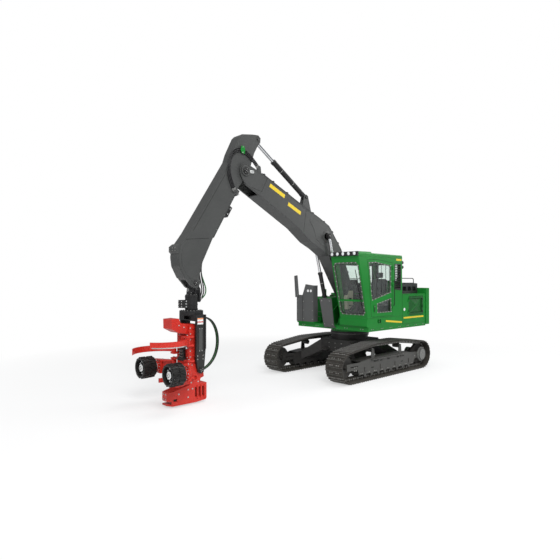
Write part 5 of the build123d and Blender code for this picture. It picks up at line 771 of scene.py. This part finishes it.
for side, turn in SIDES:
    out, boom, arm = (0, turn, 0), turn * 0.2245, turn * 0.1745
    band(f"boom weld {side}", "boom", moved_in(BOOM_SIDE, 0.016), 0.01, boom, turn * 0.229, CHARCOAL, 0.02)
    band(f"arm weld {side}", "arm", moved_in(ARM_SIDE, 0.016), 0.01, arm, turn * 0.1765, CHARCOAL, 0.02)
    for number, (place, length) in enumerate((((3.52, 5.43), 0.62), ((2.84, 5.01), 0.56))):
        prism(f"boom label {side} {number}", "boom", tilted(place, length, 0.105, 0.43), turn * 0.2248, turn * 0.2262,
              YELLOW)
    prism(f"boom doubler {side}", "boom", rounded(BOOM_DOUBLER, 0.05, 4), boom, turn * 0.231, CHARCOAL, 0.002)
    prism(f"boom seam {side}", "boom", BOOM_SEAM, boom, turn * 0.2268, CHARCOAL)
    prism(f"arm doubler {side}", "arm", rounded(ARM_DOUBLER, 0.05, 4), arm, turn * 0.18, CHARCOAL, 0.002)
    for name, body, (x, z), wall, profile, material, sides in (
        ("eye doubler", "boom", LIFT_EYE, 0.225, stud(0.2, 0.008, 0.012, 0.19), CHARCOAL, 48),
        ("foot doubler", "upper", FOOT_PIN, 0.2645, hoop(0, 0.1, 0, 0.006), BLACK, 36),
        ("head boss", "boom", HEAD_PIN, 0.25, [(0, 0.135), (0.01, 0.133), (0.014, 0.125), (0.014, 0.1)], CHARCOAL, 48),
    ):
        turned(f"{name} {side}", body, profile, (x, turn * wall, z), out, material, sides)
    turned(f"tip boss {turn}", "arm", [(0, 0.13), (0.007, 0.13), (0.01, 0.12), (0.01, 0.105)],
           (TIP[0], turn * 0.175, TIP[1]), out, CHARCOAL, 40)
    for name, body, spot, wall, radius in (
        ("head", "boom", HEAD_PIN, 0.265, 0.085), ("foot", "upper", FOOT_PIN, 0.289, 0.07),
        ("lift", "lift_rods", LIFT_EYE, 0.364, 0.062), ("crowd", "boom", CROWD_BASE, 0.0723, 0.055),
        ("arm eye", "arm", ARM_EYE, 0.175, 0.06), ("tip", "arm", TIP, 0.205, 0.06),
    ):
        pin_cap(f"{name} pin {side}", body, spot, turn * wall, radius)

# shadowed plate joints: body, y of the wall, then runs of x and z
for body, wall, runs in (
    ("boom", 0.225, (((2.346, 5.06), (2.456, 4.37)), ((4.455, 5.4), (4.1, 5.33)), ((4.1, 5.33), (3.9, 5.72)))),
    ("arm", 0.175, (((6.24, 4.12), (5.3, 5.6)), ((6.45, 3.9), (5.78, 3.97)))),
):
    for number, (first, second) in enumerate(np.array(runs)):
        away = second - first
        flat = tilted((first + second) / 2, np.linalg.norm(away), 0.009, away[1] / away[0])
        for turn in (1, -1):
            prism(f"{body} joint {number} {turn}", body, flat, turn * (wall - 0.0005), turn * (wall + 0.0012), GAP)

# clamps along the boom's back: a bolt on each, outside the pipes
PIPES = np.array([(0.025, 2.46), (0.71, 3.94), (1.28, 4.61), (1.75, 4.83), (2.3, 5.045), (3.92, 5.76),
                  (4.06, 5.811)])
for first, second in zip(PIPES, PIPES[1:]):
    span = np.linalg.norm(second - first)
    count = max(1, round(span / 0.52))
    ahead = (second - first) / span
    lift = np.array((-ahead[1], ahead[0]))
    spots = first + ahead * span * ((np.arange(count) + 0.5) / count)[:, None] + lift * 0.053
    for turn in (1, -1):
        name = f"clamp bolts {first[0]} {turn}".replace(".", "_")
        bolts(name, "boom", lay_out(spots, turn * 0.1525), (lift[0], 0, lift[1]), 0.011)

# arm's back: channel bolts, hose bracket, valve ports, wear plate's bolts, and the clamp on its left wall
down = unit(np.array((0.7, -1.184)))
back = np.array((down[1], -down[0]))
top = np.array((4.94, 5.218))
for turn in (1, -1):
    spots = top + np.array((0.25, 0.7, 1.15))[:, None] * down + back * 0.035
    bolts(f"channel bolts {turn}", "arm", lay_out(spots, turn * 0.095), (0, turn, 0), 0.013, PALE)
plate = tilted(top + down * 0.52 + back * 0.065, 0.3, 0.13, down[1] / down[0])
prism("hose bracket", "arm", plate + back * 0.04, -0.075, 0.075, BLACK, 0.004)
spots = plate.mean(axis=0) + back * 0.06 + np.array([(-0.08,), (0.08,)]) * down
bolts("hose bracket bolts", "arm", lay_out(spots, 0.075), LEFT, 0.013, PALE)
port = top + back * 0.0815 + down * -0.015
ports = [(0, 0.02), (0.022, 0.02), (0.024, 0.015), (0.05, 0.015), (0.055, 0.008), (0.055, 0)]
spots = [(port[0], y, port[1]) for y in (-0.03, 0.03, 0.09, 0.15)]
turned("valve ports", "arm", ports, spots, (back[0], 0, back[1]), PALE, 6)
boxes("boom head fitting", "boom", ((4.4, 4.53), (0.2245, 0.262), (5.76, 5.84)), PALE, 0.012)
clamp = [(4.7, 6.24), (4.79, 6.25), (4.83, 6.33), (4.8, 6.44), (4.71, 6.44), (4.68, 6.33)]
prism("clamp plate", "arm", clamp, 0.2262, 0.2295, GREEN, 0.001)
bolts("clamp plate bolts", "arm", [(4.755, 0.2295, 6.27), (4.755, 0.2295, 6.41)], LEFT, 0.01, PALE)
bolts("wear bolts", "arm", grid(6.7, (-0.12, 0.0, 0.12), (3.63, 3.69)), AHEAD, 0.013)

# ------------------------------------------------------------------ cylinders
# Black steel barrels with gland, rubber wiper and foot weld, and chromed rods with black eyes.
# A hard line runs along each barrel, held by two hoops.
CHROME = coated("chrome", (0.62, 0.63, 0.64), rough=0.12, dust=0.02, chips=0.0, metallic=1.0, bump=0.0002)
finish(BLACK, "lift_barrels crowd_barrel tilt_barrel")
finish(CHROME, "lift_rods crowd_rod tilt_rod")
# base pin, eye pin, gland distance, barrel, rod and eye radius, y places, bodies
for name, base, eye, gland, thick, thin, ear, places, body, rod in (
    ("lift", LIFT_BASE, LIFT_EYE, 1.43, 0.066, 0.045, 0.086, (0.318, -0.318), "lift_barrels", "lift_rods"),
    ("crowd", CROWD_BASE, ARM_EYE, 1.56, 0.072, 0.046, 0.081, (0.0,), "crowd_barrel", "crowd_rod"),
    ("tilt", (5.925, 1.93), (5.925, 0.62), 0.8, 0.058, 0.036, 0.059, (0.0,), "tilt_barrel", "tilt_rod"),
):
    sleeve = hoop(0.046, ear, -0.0461, 0.0461)
    turned(f"{name} eye", rod, sleeve, [(eye[0], y, eye[1]) for y in places], LEFT, BLACK, 40)
    ahead = unit(np.subtract(eye, base))
    lift = np.array((-ahead[1], ahead[0]))
    axis = (ahead[0], 0, ahead[1])
    ring = [(gland - 0.07, thick - 0.001), (gland - 0.07, thick + 0.01), (gland - 0.004, thick + 0.01),
            (gland + 0.006, thick + 0.002), (gland + 0.01, thin + 0.01), (gland + 0.01, thin + 0.001)]
    wiper = [(gland + 0.006, thin + 0.008), (gland + 0.018, thin + 0.006), (gland + 0.018, thin + 0.0008)]
    foot = [(0.15, thick - 0.001), (0.15, thick + 0.008), (0.19, thick + 0.008), (0.2, thick - 0.001)]
    clip = hoop(thick - 0.001, thick + 0.004, 0, 0.02)
    for label, profile, material in (("gland", ring, BLACK), ("wiper", wiper, RUBBER), ("foot weld", foot, BLACK)):
        turned(f"{name} {label}", body, profile, [(base[0], y, base[1]) for y in places], axis, material, 40)
    for number, y in enumerate(places):
        path = [base + along * ahead + (thick + proud) * lift for along, proud in (
            (0.2, -0.004), (0.2, 0.018), (gland / 2 + 0.05, 0.018), (gland - 0.1, 0.018), (gland - 0.1, -0.004))]
        tube(f"{name} line {number}", body, lay_out(path, y), 0.009, STEEL)
        for share in (0.4, 0.75):
            spot = lay_out([base + share * gland * ahead], y)
            turned(f"{name} hoop {number} {int(share * 100)}", body, clip, spot, axis, sides=40)

# ------------------------------------------------------------------ hoses
# Three rubber hoses loop over the boom's head, three pass the link to the rotator and three hang to the head.
# Each is pressed on its fittings, with crimped collars and hexagon nuts.
HOSE_GREEN = coated("green hose", (0.03, 0.13, 0.04), rough=0.5, dust=0.06, chips=0.0, bump=0.0006)


def smooth_line(route, y):
    """Points of the smooth line that a hose's bends steer: a third-order NURBS curve through its two ends."""
    guide = bpy.data.curves.new("guide", "CURVE")
    guide.dimensions, guide.resolution_u = "3D", 12
    line = guide.splines.new("NURBS")
    line.points.add(len(route) - 1)
    line.points.foreach_set("co", np.array([(x, y, z, 1.0) for x, z in route]).ravel())
    line.order_u = 3
    line.use_endpoint_u = True
    holder = bpy.data.objects.new("guide", guide)
    mesh = bpy.data.meshes.new_from_object(holder)
    points = np.empty(3 * len(mesh.vertices))
    mesh.vertices.foreach_get("co", points)
    bpy.data.objects.remove(holder)
    bpy.data.curves.remove(guide)
    bpy.data.meshes.remove(mesh)
    return points.reshape(-1, 3)


def hose(name, route, y, material, a, b, node):
    """Hose from body a to body b, with a collar and a nut at each end."""
    line = smooth_line(route, y)
    skin = tube(name, None, line, 0.016, material, 16)
    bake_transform(skin)
    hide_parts(node)
    collar = [(0, 0.016), (0, 0.0186), (0.045, 0.0186), (0.055, 0.016)]
    nut = [(-0.034, 0), (-0.034, 0.0193), (-0.006, 0.0193), (-0.004, 0)]
    for body, end, after in ((a, line[0], line[1]), (b, line[-1], line[-2])):
        turned(f"{name} collar {body}", body, collar, end, after - end)
        turned(f"{name} nut {body}", body, nut, end, after - end, sides=6, soft=0.3)


BOOM_HOSES = (
    (2.131, [(4.185, 6.01), (4.29, 6.11), (4.45, 6.24), (4.7, 6.39), (4.96, 6.36), (5.14, 6.19),
             (5.225, 5.95), (5.235, 5.7), (5.17, 5.46), (5.05, 5.24)]),
    (2.012, [(4.214, 5.98), (4.318, 6.078), (4.474, 6.206), (4.709, 6.347), (4.941, 6.32), (5.104, 6.166),
             (5.183, 5.942), (5.193, 5.705), (5.131, 5.476), (5.013, 5.26)]),
    (1.892, [(4.243, 5.949), (4.346, 6.047), (4.498, 6.171), (4.719, 6.303), (4.923, 6.28), (5.068, 6.143),
             (5.142, 5.934), (5.151, 5.71), (5.092, 5.492), (4.976, 5.28)]))
for number, (length, route) in enumerate(BOOM_HOSES, 1):
    hose(f"boom hose {number}", route, 0.196, RUBBER, "boom", "arm", "boom_hoses")
ARM_HOSE = [(5.64, 3.975), (5.75, 3.765), (5.857, 3.545), (5.925, 3.31), (5.925, 3.08), (5.88, 2.88),
            (5.84, 2.7), (5.87, 2.56), (5.94, 2.46)]
ARM_LOOP = [(5.64, 3.975), (5.75, 3.765), (5.852, 3.545), (5.912, 3.31), (5.895, 3.08), (5.81, 2.88),
            (5.745, 2.7), (5.79, 2.54), (5.915, 2.462)]
hose("arm hose 1", ARM_HOSE, -0.042, RUBBER, "arm", "link", "arm_hoses")
hose("arm hose 2", ARM_HOSE, 0.042, RUBBER, "arm", "link", "arm_hoses")
hose("arm loop", ARM_LOOP, 0.0, HOSE_GREEN, "arm", "link", "arm_hoses")
HEAD_HOSE = [(5.96, 2.045), (5.8, 2.01), (5.66, 1.9), (5.56, 1.73), (5.51, 1.53), (5.51, 1.32),
             (5.562, 1.12), (5.662, 0.95), (5.8, 0.83), (5.94, 0.765), (6.06, 0.74)]
for number, y, material in ((1, 0.108, RUBBER), (2, 0.148, HOSE_GREEN), (3, 0.188, RUBBER)):
    hose(f"head hose {number}", HEAD_HOSE, y, material, "hanger", "head", "head_hoses")

# ------------------------------------------------------------------ rotator and hanger
# The hydraulic rotator hangs from the link by a cross pin and turns the hanger, which is bolted under its flange.
# The hanger's two legs carry blank labels and a cover plate each, and hold the head's tilt pin.
ORANGE = coated("orange film", (0.8, 0.22, 0.02), rough=0.35, dust=0.04, chips=0.0, bump=0.0002)
finish(BLACK, "link rotator hanger")
bolts("flange bolts", "hanger", circle_spots((6.18, 0, 2.1997), 0.245, 20, "z"), UP, 0.013)
for number, z in enumerate((2.23, 2.33, 2.52)):
    turned(f"rotator hoop {number}", "rotator", hoop(0.149, 0.158, 0, 0.025), (6.18, 0, z), UP, BLACK, 40)
bolts("rotator bolts", "rotator", circle_spots((6.18, 0, 2.58), 0.125, 10, "z", 0.3), UP, 0.011)
rows = (2.3, 2.365, 2.43)
bolts("motor bolts", "rotator", grid(6.49, (-0.065, 0.065), rows), AHEAD, 0.012, PALE)
bolts("motor side bolts", "rotator", grid(6.38, 0.09, rows), LEFT, 0.012, PALE)
for side, turn in SIDES:
    out, wall = (0, turn, 0), turn * 0.366
    turned(f"cross pin {turn}", "rotator", [(0, 0.048), (0.008, 0.046), (0.008, 0)], (6.18 + turn * 0.095, 0, 2.7),
           (turn, 0, 0), sides=28)
    for label, material, proud, low, high in (
        ("white", WHITE, 0.0012, 1.885, 2.035),
        ("orange", ORANGE, 0.002, 2.005, 2.03),
        ("red", RED_LENS, 0.002, 1.93, 1.955),
    ):
        strip = ((6.085, 6.245), (wall, wall + turn * proud), (low, high))
        boxes(f"{label} strip {side}", "hanger", strip, material, 0)
    boxes(f"leg plate {side}", "hanger", ((6.105, 6.205), (wall, wall + turn * 0.004), (1.24, 1.8)), CHARCOAL, 0.001)
    spots = grid((6.118, 6.192), wall + turn * 0.004, (1.26, 1.78))
    bolts(f"leg plate bolts {side}", "hanger", spots, out, 0.006, PALE)
    pin_cap(f"tilt pin {side}", "hanger", (6.14, 0.8), turn * 0.388, 0.058)
    bolts(f"leg bolts {side}", "hanger", grid((6.09, 6.24), wall, (1.06, 1.14)), out, 0.012)

# ------------------------------------------------------------------ head's frame
# A red welded spine with bolted flanges, ribs, stem guides, capped posts for knives and feed arms, and a top arm.
# On its front sit the housings, the valve block with its ports and the cylinders that close knives and arms.
RED = coated("red coat", (0.58, 0.022, 0.012), dust=0.05, gloss=0.08)
finish(RED, "head_frame saw_box knife_left knife_right feed_arm_left feed_arm_right")
CAP = stud(0.036, 0.008, 0.012, 0.03)
for (side, turn), top in zip(SIDES, (1.625, 1.395)):
    out = (0, turn, 0)
    spots = [(6.375, turn * 0.258, z) for z in np.linspace(1.12, 1.8, 6)]
    bolts(f"flange side bolts {side}", "head", spots, out, 0.011, PALE)
    ribs = [((6.115, 6.325), (turn * 0.228, turn * 0.252), (z, z + 0.022)) for z in (1.12, 1.34, 1.56, 1.78)]
    boxes(f"spine ribs {side}", "head", ribs, RED)
    turned(f"guide ring {side}", "head", [(0, 0.062), (0.008, 0.062), (0.012, 0.056), (0.012, 0.048)],
           (6.268, turn * 0.29, 0.626), out, RED, 40)
    guide = [(6.5, turn * 0.17, 0.587), (6.6, turn * 0.24, 0.587), (6.7, turn * 0.345, 0.587)]
    bolts(f"guide bolts {side}", "head", guide, UP, 0.012, PALE)
    for label, x, y, z in (("knife", 6.48, turn * 0.3, top), ("feed", 6.46, turn * 0.33, 1.06)):
        turned(f"{label} post {side}", "head", CAP, (x, y, z), UP, RED, 28)
        bolts(f"{label} post bolt {side}", "head", (x, y, z + 0.012), UP, 0.013, PALE)
    spots = [(x, turn * 0.28, z) for x, z in ((6.22, 0.94), (6.35, 0.93), (6.36, 0.52), (6.17, 0.52))]
    bolts(f"cheek bolts {side}", "head", spots, out, 0.012, PALE)
    web = [(6.47, 1.79), (6.62, 1.83), (6.7, 1.9), (6.76, 1.96), (6.68, 1.99), (6.62, 1.9), (6.47, 1.86)]
    prism(f"top arm plate {turn}", "head", web, turn * 0.189, turn * 0.196, RED, 0.002)
    bolts(f"top arm bolts {turn}", "head", [(6.51, turn * 0.196, 1.825), (6.64, turn * 0.196, 1.875)], out, 0.011, PALE)
FRONT = 6.399
for name, material, bevel, rows in (
    ("front housing", RED, 0.008, [((FRONT, 6.475), (-0.13, 0.13), (1.36, 1.62)),
                                   ((FRONT, 6.45), (-0.19, 0.19), (0.8, 1.02))]),
    ("housing ribs", RED, 0.002, [((6.47, 6.49), (y - 0.008, y + 0.008), (1.38, 1.6)) for y in (-0.08, 0.0, 0.08)]),
    ("valve block", BLACK, 0.004, ((FRONT, 6.455), (-0.1, 0.1), (1.06, 1.3))),
    ("measuring box", RED, 0.006, [((FRONT, 6.46), (-0.07, 0.07), (1.68, 1.74)),
                                   ((FRONT, 6.43), (-0.12, 0.12), (0.62, 0.74))]),
):
    boxes(name, "head", rows, material, bevel)
pair = grid(6.445, -0.15, (1.335, 1.045))
turned("cross cylinders", "head", hoop(0, 0.04, 0, 0.3), pair, LEFT, BLACK, 28)
turned("cross rods", "head", [(0.3, 0.022), (0.37, 0.022), (0.37, 0)], pair, LEFT, CHROME, 24)
ports = [(0, 0.018), (0.02, 0.018), (0.022, 0.012), (0.04, 0.012), (0.042, 0)]
spots = grid(6.455, (-0.055, 0.0, 0.055), (1.11, 1.18, 1.25))
turned("valve block ports", "head", ports, spots, AHEAD, sides=6)
spots = grid(6.4, (-0.18, 0.18), (0.62, 0.78, 1.1, 1.52, 1.62))
bolts("front bolts", "head", spots, AHEAD, 0.012, PALE)

# ------------------------------------------------------------------ knives
# Two curved delimbing knives, bolted blades of red steel that close round the stem.
# Each has a bright bevel ground along its lower edge, on the circle through its hub, middle and tip.
EDGE = coated("ground edge", (0.58, 0.58, 0.57), rough=0.25, dust=0.02, chips=0.0, metallic=0.9, bump=0.0003)
start, tip = np.array((6.48, 0.3)), np.array((7.5, 0.42))
chord = np.stack([(tip - start) / 2 + (0, 0.36), tip - start])
center = start + np.linalg.solve(chord, np.sum(chord**2, axis=1) / 2)
radius = np.linalg.norm(start - center)
first, last = (math.atan2(*(spot - center)[::-1]) for spot in (start, tip))
sweep = first + (last - first) * np.linspace(0.3, 0.97, 28)
rays = np.stack([np.cos(sweep), np.sin(sweep)], axis=-1)
edge = np.array([(-0.0005, 0.022), (0.0012, 0.022), (0.0012, 0), (-0.0005, 0)])
for (side, turn), z in zip(SIDES, (1.436, 1.206)):
    flat = (center + rays[:, None] * (radius + edge[None, :, :1])) * (1, turn)
    points = lay_out(flat.reshape(-1, 2), np.tile(z + 0.002 + edge[:, 1], 28), "z")
    ends = [[0, 1, 2, 3], [4 * 27, 4 * 27 + 1, 4 * 27 + 2, 4 * 27 + 3]]
    piece(f"knife edge {side}", f"knife_{side}", points, net(28, 4, close_v=True) + ends, EDGE, 0.4)
    some = rays[[3, 12, 22]] * (1, turn)
    spots = lay_out(center * (1, turn) + radius * some, z + 0.1, "z")
    bolts(f"knife bolts {side}", f"knife_{side}", spots, lay_out(some, 0, "z"), 0.01, RED)

# ------------------------------------------------------------------ feed arms and rollers
# Each feed arm carries a hydraulic motor with a bolted flange, cap and pale rim. Its steel roller is closed by
# a white hub and a ring of bolts, and has two belts of slanted cleats welded round its rim.
TYRE = coated("roller steel", (0.01, 0.01, 0.01), rough=0.5, dust=0.02, chips=0.03)
TREAD = coated("tread steel", (0.03, 0.03, 0.03), rough=0.4, dust=0.03, chips=0.03, metallic=0.6)
finish(TYRE, "feed_roller_left feed_roller_right")
CLEATS, ROLLER_Z = 16, 0.845
corner = np.array([(-0.055, 0.232), (-0.035, 0.254), (0.035, 0.254), (0.055, 0.232)])
starts = 2 * math.pi * np.arange(CLEATS)[:, None, None] / CLEATS + 0.1
faces = net(2, 4, close_v=True, copies=CLEATS) + end_caps(CLEATS)
for side, turn in SIDES:
    y = turn * 0.64
    arm, roller = f"feed_arm_{side}", f"feed_roller_{side}"
    for name, body, x, ring, count, way, size, material in (
        ("motor flange bolts", arm, 6.76, 0.142, 12, 1, 0.01, PALE),
        ("motor cap bolts", arm, 6.65, 0.055, 6, -1, 0.01, PALE),
        ("roller bolts ring", roller, 7.11, 0.15, 10, 1, 0.017, WHITE),
        ("hub bolts", roller, 7.174, 0.04, 6, 1, 0.009, STEEL),
    ):
        bolts(f"{name} {side}", body, circle_spots((x, y, ROLLER_Z), ring, count, "x"), (way, 0, 0), size, material)
    turned(f"motor rim {side}", arm, hoop(0.119, 0.132, 0, 0.03), (6.8, y, ROLLER_Z), AHEAD, PALE, 40)
    bolts(f"feed arm bolts {side}", arm, [(6.62, turn * 0.58, 1.004), (6.55, turn * 0.45, 1.004)], UP, 0.012, PALE)
    hub = [(0, 0), (0, 0.088), (0.008, 0.088), (0.014, 0.078), (0.014, 0)]
    turned(f"roller hub {side}", roller, hub, (7.16, y, ROLLER_Z), AHEAD, WHITE, 36)
    turned(f"roller lip {side}", roller, [(0, 0.197), (0.003, 0.203), (0.003, 0.225), (0, 0.23)],
           (7.1995, y, ROLLER_Z), AHEAD, TREAD, 48)
    for number, (ends, twist) in enumerate((((6.885, 7.03), 0.3), ((7.045, 7.188), -0.3))):
        angle = starts + np.array([(0.0,), (twist,)]) + corner[:, 0]
        flat = np.stack([y + corner[:, 1] * np.cos(angle), ROLLER_Z + corner[:, 1] * np.sin(angle)], axis=-1)
        points = lay_out(flat.reshape(-1, 2), np.tile(np.repeat(ends, 4), CLEATS), "x")
        piece(f"tread {side} {number}", roller, points, faces, TREAD, 0.4)

# ------------------------------------------------------------------ saw
# The saw swings out of a bolted red box below the spine, through a slot. Its chain runs round the edge
# of a steel bar and carries ground teeth.
finish(SHOE, "saw_bar")
spots = [(6.45, 0.285, 0.37), (6.45, 0.285, 0.19), (6.7, 0.285, 0.3), (6.33, 0.285, 0.37)]
bolts("saw box bolts", "head", spots, LEFT, 0.013, PALE)
bolts("saw box front bolts", "head", grid(6.93, (0, 0.1), (0.18, 0.3)), AHEAD, 0.013, PALE)
boxes("saw box slots", "head", ((6.745, 6.835), (0.2625, 0.2645), (0.145, 0.2)), GAP, 0)
pockets = [((x + 0.004, x + 0.044), (0.2395, 0.2415), (0.175, 0.385)) for x in (6.01, 6.11, 6.21)]
boxes("saw box pockets", "head", pockets, GAP, 0)
bar = np.array([(6.82, 0.13), (6.01, 0.13), (5.97, 0.175), (6.01, 0.22), (6.82, 0.22)])
line = np.concatenate([np.linspace(a, b, 24)[:-1] for a, b in zip(bar, bar[1:])] + [bar[-1:]])
tube("saw chain", "saw_bar", lay_out(line, 0.11, "z"), 0.007, STEEL, 8)
teeth = line[::2]
out = unit(teeth - (6.4, 0.175)) * (0.2, 1)
out[:, 1] = np.sign(out[:, 1])
turned("chain teeth", "saw_bar", [(0.004, 0.006), (0.012, 0.004), (0.014, 0)], lay_out(teeth, 0.11, "z"),
       lay_out(out, 0, "z"), EDGE, 6, 0.3)
